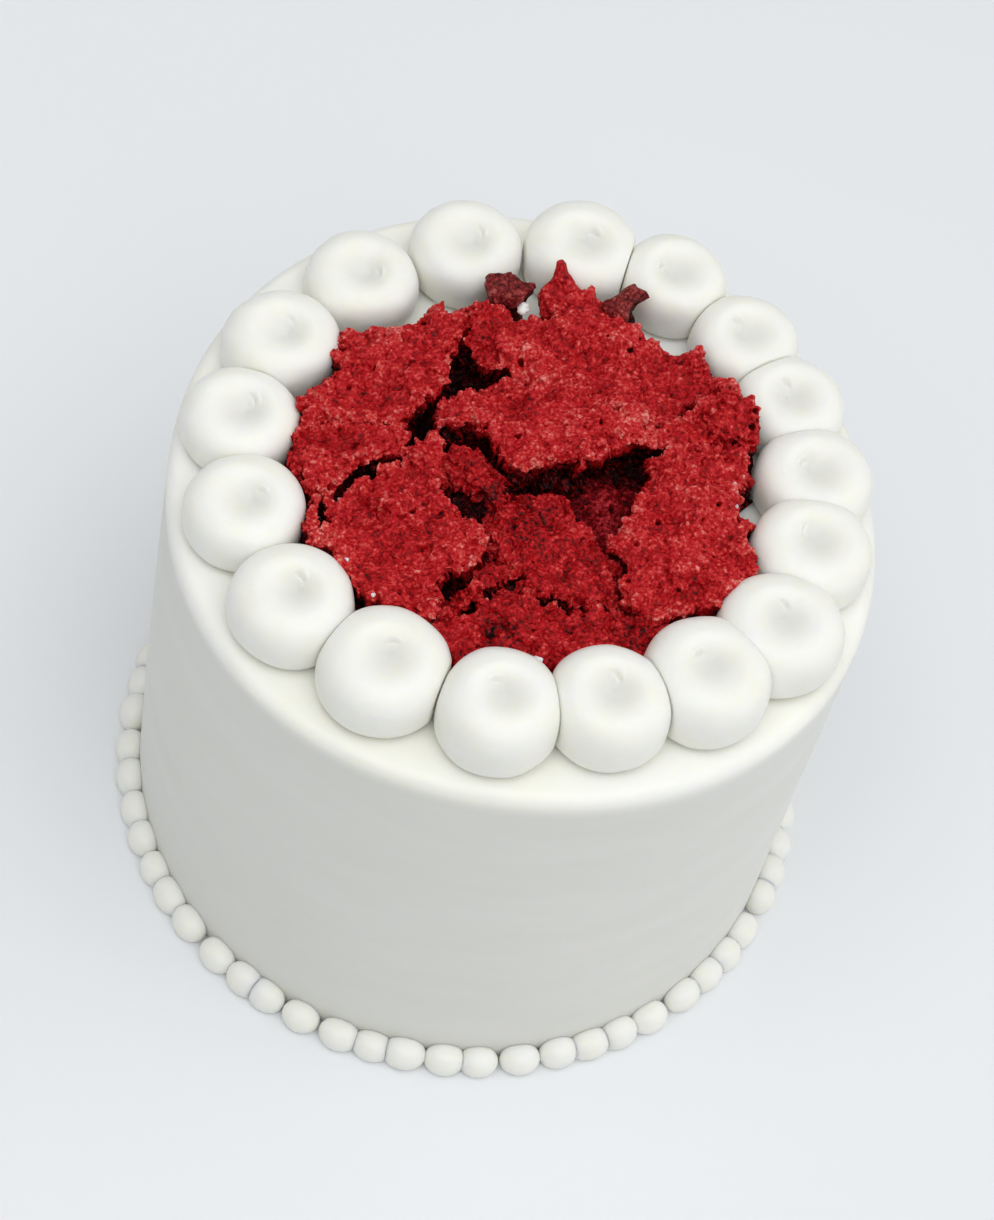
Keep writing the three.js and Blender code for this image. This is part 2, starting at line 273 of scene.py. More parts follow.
def cap_skin(across, down):
    """A square grid pulled into a disc, with a wall hung from its rim and a point that closes
    it underneath. Gives each point's share of the way out (0 to 1), its direction, its share
    of the way down the wall (0 to 1), and the faces. The ring that a point lies on is the
    larger of its two grid distances from the middle, and the direction goes evenly round it."""
    side = 2 * across + 1
    a, b = np.meshgrid(np.linspace(-1, 1, side), np.linspace(-1, 1, side), indexing="ij")
    share = np.maximum(abs(a), abs(b))
    safe_a, safe_b = np.where(a == 0, 1, a), np.where(b == 0, 1, b)
    across_x = np.pi / 4 * b / safe_a + np.where(a < 0, np.pi, 0)
    across_y = np.pi / 2 * np.sign(b) - np.pi / 4 * a / safe_b
    direction = np.where(abs(a) >= abs(b), across_x, across_y)
    ids = np.arange(side * side).reshape(side, side)
    rim = np.concatenate([ids[-1, :-1], ids[:0:-1, -1], ids[0, :0:-1], ids[:-1, 0]])
    around = len(rim)
    wall = side * side + np.arange(down * around).reshape(down, around)
    hanging = np.concatenate([rim[None], wall])
    on = np.roll(hanging, -1, axis=1)
    middle = side * side + down * around
    top = np.stack([ids[:-1, :-1], ids[1:, :-1], ids[1:, 1:], ids[:-1, 1:]], axis=-1)
    fall = np.stack([hanging[:-1], hanging[1:], on[1:], on[:-1]], axis=-1)
    floor = np.stack([on[-1], hanging[-1], np.full(around, middle)], axis=-1)
    depth = np.repeat(np.arange(1, down + 1) / down, around)
    share = np.concatenate([share.ravel(), np.ones(down * around), [0]])
    direction = np.concatenate([direction.ravel(), np.tile(direction.ravel()[rim], down), [0]])
    depth = np.concatenate([np.zeros(side * side), depth, [1]])
    quads = np.concatenate([top.reshape(-1, 4), fall.reshape(-1, 4)])
    return share, direction, depth, quads, floor


def outward(points, quads):
    """Every point's outward direction: the sum of the crossed diagonals of its faces."""
    a, b, c, d = (points[quads[:, corner]] for corner in range(4))
    crossed = np.cross(c - a, d - b)
    total = np.stack([
        np.bincount(quads.ravel(), np.repeat(crossed[:, axis], 4), len(points)) for axis in range(3)
    ], axis=-1)
    return total / np.maximum(np.linalg.norm(total, axis=1, keepdims=True), 1e-12)


def make_piece(name, points, quads, triangles, material, slot, nodes=(), relief=None, smooth=True):
    """Turns millimetre points and faces into a piece that rides with the cake. The relief is
    one number a point, which the finishes read as colour, with painted light and shade in it."""
    corners = np.concatenate([quads.ravel(), triangles.ravel()]).astype(np.int32)
    sizes = np.concatenate([np.full(len(quads), 4), np.full(len(triangles), 3)]).astype(np.int32)
    mesh = bpy.data.meshes.new(name)
    mesh.vertices.add(len(points))
    mesh.vertices.foreach_set("co", (points * MM).astype(np.float32).ravel())
    mesh.loops.add(len(corners))
    mesh.loops.foreach_set("vertex_index", corners)
    mesh.polygons.add(len(sizes))
    starts = np.concatenate([[0], np.cumsum(sizes)[:-1]]).astype(np.int32)
    mesh.polygons.foreach_set("loop_start", starts)
    mesh.polygons.foreach_set("use_smooth", np.full(len(sizes), smooth))
    if relief is not None:
        values = mesh.attributes.new("relief", "FLOAT", "POINT").data
        values.foreach_set("value", relief.astype(np.float32))
    mesh.update(calc_edges=True)
    mesh.materials.append(material)
    piece = bpy.data.objects.new(name, mesh)
    bpy.context.scene.collection.objects.link(piece)
    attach(piece, "root")
    if nodes:
        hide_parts(*nodes)
    print(name, 2 * len(quads) + len(triangles), "triangles")
    return piece


# %% [markdown]
# ## Frosting
#
# Frosting here is buttercream: butter, sugar and a little cream, whipped and spread. Light
# goes a few millimetres into it and comes out again, which softens every shadow and warms
# it where two surfaces face each other. It is almost white, with a satin surface. A plain
# white shader would look like plaster, so the Principled shader's subsurface part carries
# this finish, and the two frostings differ only in how their surface was left.

# %% Buttercream
MIX_FACTOR, MIX_FIRST, MIX_SECOND, MIX_COLOUR = 0, 6, 7, 2  # sockets of a colour Mix node


def buttercream(name, stretch, swell_mm, swell_depth, roughness):
    """Whipped butter and sugar. Slow changes of shade run over it, from more or less air, and
    a low swell in its surface is drawn out by the stretch, as the scraper or the nozzle
    leaves it. Over that lies a fine grain of sugar, drawn 0.6 mm wide so that it shows. Where
    the shape's relief is 1, a greyer colour is mixed in as painted shade: in the dollops' bowls
    and on the cake's upright side."""
    material, tree, output, place = new_material(name)
    turned = add(tree, "ShaderNodeMapping", {"Vector": place, "Scale": stretch}).outputs["Vector"]
    swell = add(tree, "ShaderNodeTexNoise", {
        "Vector": turned, "Scale": 1 / (swell_mm * MM), "Detail": 3.0,
    })
    grain = add(tree, "ShaderNodeTexNoise", {
        "Vector": place, "Scale": 1 / (0.6 * MM), "Detail": 2.0,
    })
    low = add(tree, "ShaderNodeBump", {
        "Height": swell.outputs["Fac"], "Strength": 1.0, "Distance": swell_depth * MM,
    })
    fine = add(tree, "ShaderNodeBump", {
        "Height": grain.outputs["Fac"], "Normal": low.outputs["Normal"],
        "Strength": 0.35, "Distance": 0.05 * MM,
    })
    whipped = ramp(tree, swell.outputs["Fac"], ((0.3, "#F5F4EA"), (0.7, "#F9F8F2")))
    # Painted shade: the grey that the relief mixes in, for the bowls and the upright side.
    painted_shade = ramp(tree, swell.outputs["Fac"], ((0.3, "#E0E0DA"), (0.7, "#E4E4DF")))
    relief = add(tree, "ShaderNodeAttribute", attribute_name="relief").outputs["Fac"]
    colour = add(tree, "ShaderNodeMix", data_type="RGBA")
    for socket, value in ((MIX_FACTOR, relief), (MIX_FIRST, whipped), (MIX_SECOND, painted_shade)):
        tree.links.new(value, colour.inputs[socket])
    shader = add(tree, "ShaderNodeBsdfPrincipled", {
        "Base Color": colour.outputs[MIX_COLOUR],
        "Roughness": roughness,
        "IOR": 1.46,  # butter and sugar
        "Subsurface Weight": 0.8,
        "Subsurface Radius": (1.0, 0.93, 0.75),
        "Subsurface Scale": 2.5 * MM,
        "Normal": fine.outputs["Normal"],
    })
    tree.links.new(shader.outputs["BSDF"], output.inputs["Surface"])
    print("material", name)
    return material


scraped_buttercream = buttercream("scraped_buttercream", (0.25, 0.25, 1.2), 12, 0.12, 0.5)
piped_buttercream = buttercream("piped_buttercream", (1, 1, 1), 7, 0.12, 0.42)

# %% [markdown]
# ## Sponge
#
# Torn sponge is a foam of moist crumb, red from colouring in the batter. The tips of the
# crumbs catch the light and look pink, the air holes between them are nearly black, and
# moisture gives a low sheen. Noise alone would put pink tips and dark holes anywhere. The
# mesh's own relief says where they are, so the colour starts from it and noise only breaks
# it up. The pink of the tips is a painted highlight, and the near black of the holes and
# creases painted shade.

# %% Sponge
CRUMB_NOISES = ((2.0, 0.6, 0.5), (0.75, 0.5, 1.2), (11, 0.0, 0.32))  # mm, distortion, weight


def torn_sponge(name, shades, gleam):
    """Torn red crumb. Its colour follows the relief that the shape was given, as painted light
    and shade: dark red as painted shade in the air holes and creases, pink as a painted
    highlight on the crumbs. Noise 2 and 0.75 mm across mixes into it, and the whole drifts in
    tone every centimetre, as pressed crumb is darker. The finest crumb, drawn 0.4 mm wide so
    that it shows, roughens the surface."""
    material, tree, output, place = new_material(name)
    level = add(tree, "ShaderNodeAttribute", attribute_name="relief").outputs["Fac"]
    for size, bend, weight in CRUMB_NOISES:
        noise = add(tree, "ShaderNodeTexNoise", {
            "Vector": place, "Scale": 1 / (size * MM), "Detail": 2.0, "Distortion": bend,
        })
        off = add(tree, "ShaderNodeMath", {
            0: noise.outputs["Fac"], 1: 0.5,
        }, operation="SUBTRACT").outputs[0]
        level = add(tree, "ShaderNodeMath", {
            0: off, 1: weight, 2: level,
        }, operation="MULTIPLY_ADD").outputs[0]
    fine = add(tree, "ShaderNodeTexNoise", {
        "Vector": place, "Scale": 1 / (0.4 * MM), "Detail": 2.0,
    })
    bump = add(tree, "ShaderNodeBump", {
        "Height": fine.outputs["Fac"], "Strength": 0.9, "Distance": 0.3 * MM,
    })
    shader = add(tree, "ShaderNodeBsdfPrincipled", {
        "Base Color": ramp(tree, level, shades),
        "Roughness": 0.45,
        "IOR": 1.4,  # moist crumb
        "Specular IOR Level": gleam,
        "Normal": bump.outputs["Normal"],
    })
    tree.links.new(shader.outputs["BSDF"], output.inputs["Surface"])
    print("material", name)
    return material


# In each ramp the dark end is painted shade for holes, creases and cracks, and the light end a
# painted highlight on the crumb tips; the crust's own colour is brown.
red_crumb = torn_sponge("red_crumb", (
    (0, "#100001"), (0.09, "#520307"), (0.25, "#82060B"), (0.44, "#AE0C14"),
    (0.58, "#C22026"), (0.74, "#CF4642"), (0.98, "#EC9288"),
), 0.22)
# A darker crumb for the bed, as painted shade in the cracks and the hollow.
shaded_crumb = torn_sponge("shaded_crumb", (
    (0.1, "#180002"), (0.36, "#500408"), (0.6, "#860C14"), (0.95, "#C83C44"),
), 0.1)
dark_crust = torn_sponge("dark_crust", (
    (0.1, "#240406"), (0.35, "#641618"), (0.6, "#92302E"), (0.95, "#C07068"),
), 0.2)

# %% [markdown]
# ## The frosted cake
#
# The side was scraped against a turning cake, so it is a profile turned round the upright
# axis: a straight side that leans in slightly, a tight round edge and a flat top. The Screw
# modifier could turn it, but a hand isn't a lathe: here the rings are moved one by one, so
# the edge wanders by about a millimetre and low bands run round the side.

# %% Frosted cake
CAKE_RADIUS, FOOT_RADIUS, CAKE_HEIGHT = 80, 79.2, 120
EDGE_ROUNDING, FOOT_ROUNDING = 3, 0.8
SIDE_SHADE = 0.85  # how much painted shade the upright side gets
EDGE_WAVES = ((2, 0.6, -60), (3, 0.55, -15), (4, 0.6, -35))  # crests, mm, degrees
BAND_HEIGHT, SWELL_HEIGHT, TOP_SUNK = 0.05, 0.25, 0.2  # mm


def edge_unevenness(direction):
    """How far the edge stands out from a circle: a sum of cosine waves round the cake."""
    return sum(h * np.cos(n * (direction - np.radians(towards))) for n, h, towards in EDGE_WAVES)


def frosted_cake(spokes=480):
    """The profile goes out along the underside, round the foot, up the side, over a quarter
    circle and back in along the top. Each ring is then moved out by the edge's unevenness,
    which grows with the square of the height, and by low bands that change with height. Also
    gives how far each point lies on the scraped side, from 0 on the top to 1."""
    corner = np.radians(np.linspace(0, 90, 14))
    up = np.linspace(0, 1, 70)[1:]
    radius = np.concatenate([
        [0, 0.5 * FOOT_RADIUS, FOOT_RADIUS - FOOT_ROUNDING, FOOT_RADIUS - 0.3 * FOOT_ROUNDING],
        FOOT_RADIUS + (CAKE_RADIUS - FOOT_RADIUS) * up,
        CAKE_RADIUS - EDGE_ROUNDING * (1 - np.cos(corner[1:])),
        np.linspace(CAKE_RADIUS - EDGE_ROUNDING, 0, 34)[1:],
    ])
    height = np.concatenate([
        [0, 0, 0, 0.3 * FOOT_ROUNDING],
        FOOT_ROUNDING + (CAKE_HEIGHT - EDGE_ROUNDING - FOOT_ROUNDING) * up,
        CAKE_HEIGHT - EDGE_ROUNDING * (1 - np.sin(corner[1:])),
        np.full(33, CAKE_HEIGHT),
    ])
    direction = np.linspace(0, 2 * np.pi, spokes, endpoint=False)
    r, d = np.meshgrid(radius, direction, indexing="ij")
    z = np.repeat(height[:, None], spokes, axis=1)
    on_side = smooth_step(FOOT_RADIUS - 6, FOOT_RADIUS, r) * smooth_step(0, 4, z)
    at = np.stack([20 * np.cos(d), 20 * np.sin(d), z], axis=-1)
    bands = BAND_HEIGHT * rough_noise(at * (0.25, 0.25, 1), 5, 21) * on_side
    out = r * (1 + edge_unevenness(d) / CAKE_RADIUS * (z / CAKE_HEIGHT) ** 2) + bands
    flat = np.stack([out * np.cos(d), out * np.sin(d), z], axis=-1)
    on_top = smooth_step(CAKE_HEIGHT - EDGE_ROUNDING, CAKE_HEIGHT, z)
    flat[..., 2] += SWELL_HEIGHT * rough_noise(flat, 14, 22) * on_top - TOP_SUNK * on_top
    flat[..., 2] *= z > 0
    points, quads, triangles = ring_skin(flat)
    return points, quads, triangles, smooth_step(CAKE_HEIGHT - 2, CAKE_HEIGHT - 6, points[:, 2])


# The share on the scraped side carries the upright side's painted shade into the finish.
*skin, scraped = frosted_cake()
make_piece(
    "frosted_cake_skin", *skin, scraped_buttercream, "side_frosting", ["frosted_cake"],
    SIDE_SHADE * scraped,
)

# %% [markdown]
# ## The ring of dollops
#
# Each dollop was piped straight down from a round nozzle: the frosting swells out from its
# foot, rounds over, and sinks in a shallow bowl where the nozzle lifted off with a small
# flick. Where two dollops meet, they press each other flat along a seam. Sculpting would
# give one good dollop, but here are seventeen, no two alike, so each is a stack of rings
# shaped by the same few formulas with its own sizes and its own seeded chances.

# %% Sizes of the dollops
# The dollops of the ring, anticlockwise from the front: x, y, radius, height in mm.
DOLLOPS = (
    (5.5, -62.1, 13.6, 16.2), (27.6, -54.4, 13.5, 15.6), (46.6, -42, 14.3, 15.4),
    (60, -25.4, 14.2, 14.4), (63.6, -2.3, 13.7, 13.6), (61.4, 17.4, 13.4, 12.6),
    (52.8, 36.4, 12.8, 12.3), (40.2, 50.6, 12.6, 13.0), (21.4, 63.4, 12.6, 13.0),
    (-0.6, 65, 13.8, 13.8), (-26.4, 57.8, 13.2, 13.0), (-47.4, 42.6, 13, 11.7),
    (-60.6, 19.4, 13.2, 13.0), (-64.2, -4, 13.1, 12.5), (-57.6, -27.2, 13.4, 13.0),
    (-42.4, -47.8, 13.7, 13.8), (-19.9, -58.5, 14.4, 14.3),
)
WIDEST = 0.28  # share of its height at which a dollop is widest
SHOULDER, CROWN = 0.55, 0.62  # powers of the outline: the smaller, the fuller
FOOT_ANGLE, SHOULDER_ANGLE = 0.92, 0.9  # radians: where its rings start and get even
BOWL_RADIUS, BOWL_DEPTH, BOWL_STEEPNESS = 8.4, 4.8, 1.8
BOWL_OFF, BOWL_LEAN = 1.5, 0.3  # mm off the middle, and share by which its walls differ
BOWL_SHADE = 0.65  # how much painted shade the bowl gets
PULLED_TOWARDS = (0, 75)  # mm: the nozzle left towards this place, behind the middle
FLICK_OFF, FLICK_WIDTH, FLICK_TURN, FLICK_CURL = 2.6, 0.42, 0.45, 0.9  # mm, radians for the turn
SEAM, SEAM_ROUNDING = 0.05, 0.4  # mm


# %% Outline of a dollop
def dollop_outline(a, h, rows=46):
    """Radius and height of each ring. Above the widest place, at height c, the outline is a
    full curve: height c + (h - c) sin(angle)^0.62 at radius a cos(angle)^0.55. Below it is a
    part of an ellipse, closed underneath. Near the crown the rings are evenly spaced."""
    c = WIDEST * h
    inner = np.arccos(np.linspace(np.cos(SHOULDER_ANGLE) ** SHOULDER, 0, rows) ** (1 / SHOULDER))
    angle = np.concatenate([
        np.linspace(-FOOT_ANGLE, 0, 14)[:-1], np.linspace(0, SHOULDER_ANGLE, 20)[:-1], inner,
    ])
    upper, above = angle > 0, np.clip(angle, 0, np.pi / 2 - 1e-9)
    ring = a * np.where(upper, np.cos(above) ** SHOULDER, 0.8 + 0.2 * np.cos(angle * 1.6))
    crown = c + (h - c) * np.sin(above) ** CROWN
    level = np.where(upper, crown, c * (1 + np.sin(angle * np.pi / (2 * FOOT_ANGLE))))
    ring, level = np.concatenate([[0, 0.6 * ring[0]], ring]), np.concatenate([[0, 0], level])
    ring[-1] = 0
    return ring, level


# %% Bowl of a dollop
def bowl_and_flick(x, y, pulled, chance):
    """How far they raise each point, and how much painted shade it gets, most near the bowl's
    deepest place. The bowl takes off its depth times (1 - share of the distance from its
    deepest place)^1.8. That place lies 1.5 mm to the side that the nozzle was pulled to, and
    distances count for more on that side, so the wall is steep there and gentle opposite. The
    flick that the nozzle left is a small curved lip, w exp(-w²) across, on that wall."""
    off_x, off_y = x - BOWL_OFF * np.cos(pulled), y - BOWL_OFF * np.sin(pulled)
    off, towards = np.hypot(off_x, off_y), np.arctan2(off_y, off_x)
    radius = BOWL_RADIUS + 0.5 * chance.uniform(-1, 1)
    share = off / (radius * (1 - BOWL_LEAN * np.cos(towards - pulled)))
    depth = BOWL_DEPTH + 0.3 * chance.uniform(-1, 1)
    bowl = np.clip(1 - np.hypot(share, 0.07), 0, 1) ** BOWL_STEEPNESS
    flick_at = pulled + chance.uniform(-0.7, 0.7)
    turn = (towards - flick_at + np.pi) % (2 * np.pi) - np.pi
    across = (off - FLICK_OFF - FLICK_CURL * turn * chance.choice([-1, 1])) / FLICK_WIDTH
    lip = chance.uniform(0.9, 2.2) * across * np.exp(-(across**2))
    lip = lip * np.exp(-((turn / FLICK_TURN) ** 2))
    # Painted shade in the bowl, full within a tenth of its reach and gone by three quarters.
    return lip - depth * bowl, BOWL_SHADE * (1 - smooth_step(0.1, 0.75, share))


# %% Seams between dollops
def pressed_flat(x, y, index):
    """Bends the points that lie past the seam with either neighbour back onto it: what lies
    past becomes (past + √(past² + 0.4²)) / 2, and that much is taken off."""
    middle_x, middle_y = DOLLOPS[index][:2]
    for step in (-1, 1):
        other_x, other_y = DOLLOPS[(index + step) % len(DOLLOPS)][:2]
        apart = np.hypot(other_x - middle_x, other_y - middle_y)
        towards_x, towards_y = (other_x - middle_x) / apart, (other_y - middle_y) / apart
        past = x * towards_x + y * towards_y - (apart - SEAM) / 2
        past = 0.5 * (past + np.sqrt(past**2 + SEAM_ROUNDING**2))
        x, y = x - past * towards_x, y - past * towards_y
    return x, y


# %% Dollops
def dollop(index, spokes=132):
    """The outline turned round the dollop's middle, with two and three slow waves round it
    and 0.2 mm of noise, then the bowl, the flick and the seams."""
    chance = np.random.default_rng(40 + index)
    middle_x, middle_y, a, h = DOLLOPS[index]
    ring, level = dollop_outline(a, h)
    spoke = np.linspace(0, 2 * np.pi, spokes, endpoint=False)
    r, d = np.meshgrid(ring, spoke, indexing="ij")
    z = np.repeat(level[:, None], spokes, axis=1)
    wobble = 1 + 0.012 * np.cos(2 * (d - chance.uniform(0, 6)))
    wobble = wobble + 0.008 * np.cos(3 * (d - chance.uniform(0, 6)))
    at = np.stack([r * np.cos(d), r * np.sin(d), z + 50 * index], axis=-1)
    r = r * wobble + 0.2 * rough_noise(at, 6, 31, 2) * smooth_step(0, 5, r)
    x, y = r * np.cos(d), r * np.sin(d)
    pulled = np.arctan2(PULLED_TOWARDS[1] - middle_y, PULLED_TOWARDS[0] - middle_x)
    pulled = pulled + 0.3 * chance.uniform(-1, 1)
    raised, painted_shade = bowl_and_flick(x, y, pulled, chance)
    z = z + (z > WIDEST * h) * raised
    x, y = pressed_flat(x, y, index)
    z = np.maximum(z, 0) + CAKE_HEIGHT + 0.02
    # The fourth column is the bowl's painted shade, which the finish reads.
    skin = np.stack([middle_x + x, middle_y + y, z, painted_shade], axis=-1)
    points, quads, triangles = ring_skin(skin)
    name = f"dollop_{index + 1:02d}"
    make_piece(
        name + "_skin", points[:, :3], quads, triangles, piped_buttercream, "piped_frosting",
        [name], points[:, 3],
    )


for index in range(len(DOLLOPS)):
    dollop(index)

# %% [markdown]
# ## The border of beads
#
# Small dots piped one after another round the foot, which finish the lower edge. Each is a
# ball that sank a little, flat underneath and against the side. An Array modifier along a
# curve would make them all alike. Here each is a skin of its own with its own size and
# place, and they are joined as one piece.

# %% Beads
BEAD_COUNT, BEAD_RING = 58, 81.3  # how many, and how far out their middles lie in mm
BEAD_HALF_WIDTH, BEAD_HALF_DEPTH, BEAD_HEIGHT = 4.9, 3.9, 7.0  # mm


def bead(index, chance, spokes=24, rows=15):
    """A ball squashed to half width, half depth and height, no two alike. Its points are kept
    above the ground, and those that would reach into the cake lie just under its side."""
    tilt = np.linspace(-np.pi / 2, np.pi / 2, rows)
    spoke = np.linspace(0, 2 * np.pi, spokes, endpoint=False)
    t, d = np.meshgrid(tilt, spoke, indexing="ij")
    wide, deep, tall = 1 + chance.uniform(-1, 1, 3) * (0.08, 0.03, 0.06)
    u = wide * BEAD_HALF_WIDTH * np.cos(t) ** 0.85 * np.cos(d)
    v = deep * BEAD_HALF_DEPTH * np.cos(t) ** 0.85 * np.sin(d)
    z = tall * BEAD_HEIGHT * (0.42 + 0.58 * np.sin(t))
    at = 2 * np.pi * (index + 0.14 * chance.uniform(-1, 1)) / BEAD_COUNT
    ring = np.maximum(BEAD_RING + v, FOOT_RADIUS - 0.3)
    x, y = ring * np.cos(at) - u * np.sin(at), ring * np.sin(at) + u * np.cos(at)
    return ring_skin(np.stack([x, y, np.maximum(z, 0)], axis=-1))


bead_chance = np.random.default_rng(BEAD_COUNT)
beads = joined([bead(index, bead_chance) for index in range(BEAD_COUNT)])
make_piece("bead_border_skin", *beads, piped_buttercream, "bead_frosting", ["bead_border"])

# %% [markdown]
# ## The heap of torn sponge
#
# A cake layer was torn by hand and pressed into the ring. Some of the torn pieces still hang
# together, and others stand apart with dark cracks between them. So the heap is planned as
# one sheet: the outlines of the pieces share their borders, one noise tears all of them, and
# a fine grid of points is cut along the torn borders. A crack is where no piece reaches.
# Each piece then gets its own height, crumb, and walls down to the frosting. First come the
# helpers that measure outlines.

# %% Outlines
def reach_of(outline, middle, direction):
    """How far an outline reaches from its middle in each direction: the furthest place where
    the ray from the middle crosses an edge."""
    corners = np.array(outline, float)
    start = corners - middle
    edge = np.roll(corners, -1, axis=0) - corners
    x, y = np.cos(direction)[:, None], np.sin(direction)[:, None]
    across = x * edge[:, 1] - y * edge[:, 0]
    across = np.where(abs(across) < 1e-9, 1e-9, across)
    along = (start[:, 0] * edge[:, 1] - start[:, 1] * edge[:, 0]) / across
    share = (start[:, 0] * y - start[:, 1] * x) / across
    return np.where((share >= -1e-6) & (share <= 1 + 1e-6), along, 0).max(axis=1)


def outline_distance(x, y, outline):
    """Distance of points to an outline, negative inside it: the least distance to any edge,
    with its sign from how many edges lie to the right of the point, odd being inside."""
    corners = np.array(outline, float)
    nearest, inside = np.full(x.shape, np.inf), np.zeros(x.shape, bool)
    for (ax, ay), (bx, by) in zip(corners, np.roll(corners, -1, axis=0)):
        ex, ey = bx - ax, by - ay
        t = np.clip(((x - ax) * ex + (y - ay) * ey) / (ex**2 + ey**2), 0, 1)
        nearest = np.minimum(nearest, (x - ax - t * ex) ** 2 + (y - ay - t * ey) ** 2)
        if ey:
            inside ^= ((ay > y) != (by > y)) & (x < ax + (y - ay) * ex / ey)
    return np.where(inside, -1, 1) * np.sqrt(nearest)


def warped(points, size, amount, seed):
    """Moves every point by three soft noises, one for each axis."""
    moves = [soft_noise(points, size, seed + 11 * axis) for axis in range(3)]
    return points + amount * np.stack(moves, axis=-1)


def knot_height(x, y, knots):
    """Height between knots (x, y, height): their mean, weighted by 1 / (distance² + 6)^1.5."""
    weight = [1 / ((x - kx) ** 2 + (y - ky) ** 2 + 6) ** 1.5 for kx, ky, _ in knots]
    return sum(w * knot[2] for w, knot in zip(weight, knots)) / sum(weight)


# %% [markdown]
# ## Crumb
#
# Sponge tears between its crumbs, so a torn face is lumpy at every size from a finger's
# width down to a grain of sugar, with an air hole here and there. A Displace modifier with a
# cloud texture makes it look like rock, because cloud noise is as sharp in its peaks as in
# its pits. Crumbs are round on top and creased where they meet, and the distance to
# scattered grains gives exactly that.

# %% Crumb
LUMP_SIZE, LUMP_HEIGHT = 6, 1.2  # mm, as the next three lines
KNOB_SIZE, KNOB_HEIGHT = 1.9, 0.65
CRUMB_SIZE, CRUMB_REACH, CRUMB_HEIGHT = 1.5, 1.1, 0.4
FINE_SIZE, FINE_REACH, FINE_HEIGHT = 0.8, 0.6, 0.22
HOLE_SPACING, HOLE_RADIUS, HOLE_RARITY = 2.8, 1.15, 5  # mm, mm, power of a random number


def crumb_relief(points, seed, rough=1.0):
    """Height of the crumb over the torn surface: lumps from 6 down to 1.5 mm across, and on
    them crumbs 1.5 and 0.8 mm across, each round on top and creased where it meets the next,
    as 1 - distance to the nearest grain / reach. Here and there is an air hole, where a grain
    of a sparse scatter has a high number. The places are warped first, so that no crumb or
    hole is round. Also gives a 0 to 1 reading of the height for the colour."""
    bent = warped(points, 1.1, 0.35, seed + 4)
    lumps = LUMP_HEIGHT * rough_noise(points, LUMP_SIZE, seed, 3)
    knobs = KNOB_HEIGHT * rough_noise(bent, KNOB_SIZE, seed + 3, 2)
    away, crumb_shade = grains(bent, CRUMB_SIZE, seed + 5)
    crumbs = np.clip(1 - away / CRUMB_REACH, 0, 1) - 0.5
    away, fine_shade = grains(bent, FINE_SIZE, seed + 6)
    fine = np.clip(1 - away / FINE_REACH, 0, 1) - 0.5
    away, number = grains(warped(points, 1.6, 0.7, seed + 8), HOLE_SPACING, seed + 9)
    radius = 0.1 + HOLE_RADIUS * number**HOLE_RARITY
    holes = -(0.4 + 1.3 * number) * smooth_step(0, 0.8, 1 - away / radius)
    height = lumps + rough * (knobs + CRUMB_HEIGHT * crumbs + FINE_HEIGHT * fine + holes)
    # The reading is painted light and shade: lower in the air holes, the creases and on low lumps,
    # higher on the crumbs' tops.
    reading = 0.52 + 0.13 * knobs + 0.16 * crumbs + 0.14 * (crumb_shade - 0.5) + 0.18 * fine
    return height, reading + 0.12 * (fine_shade - 0.5) + 0.35 * holes + 0.08 * lumps


# %% [markdown]
# ## The plan of the heap
#
# Seen from above, the heap is a map: twelve torn pieces with borders, some of them shared
# and some opened by a crack. Every piece is an outline of a few dozen corners and a few
# knots that say how high it lies. Knife cuts through a sculpted disc would give the borders,
# but a fine grid on which every point knows its piece and its distance from it gives the
# cracks, the rounded rims and the shade in one go.

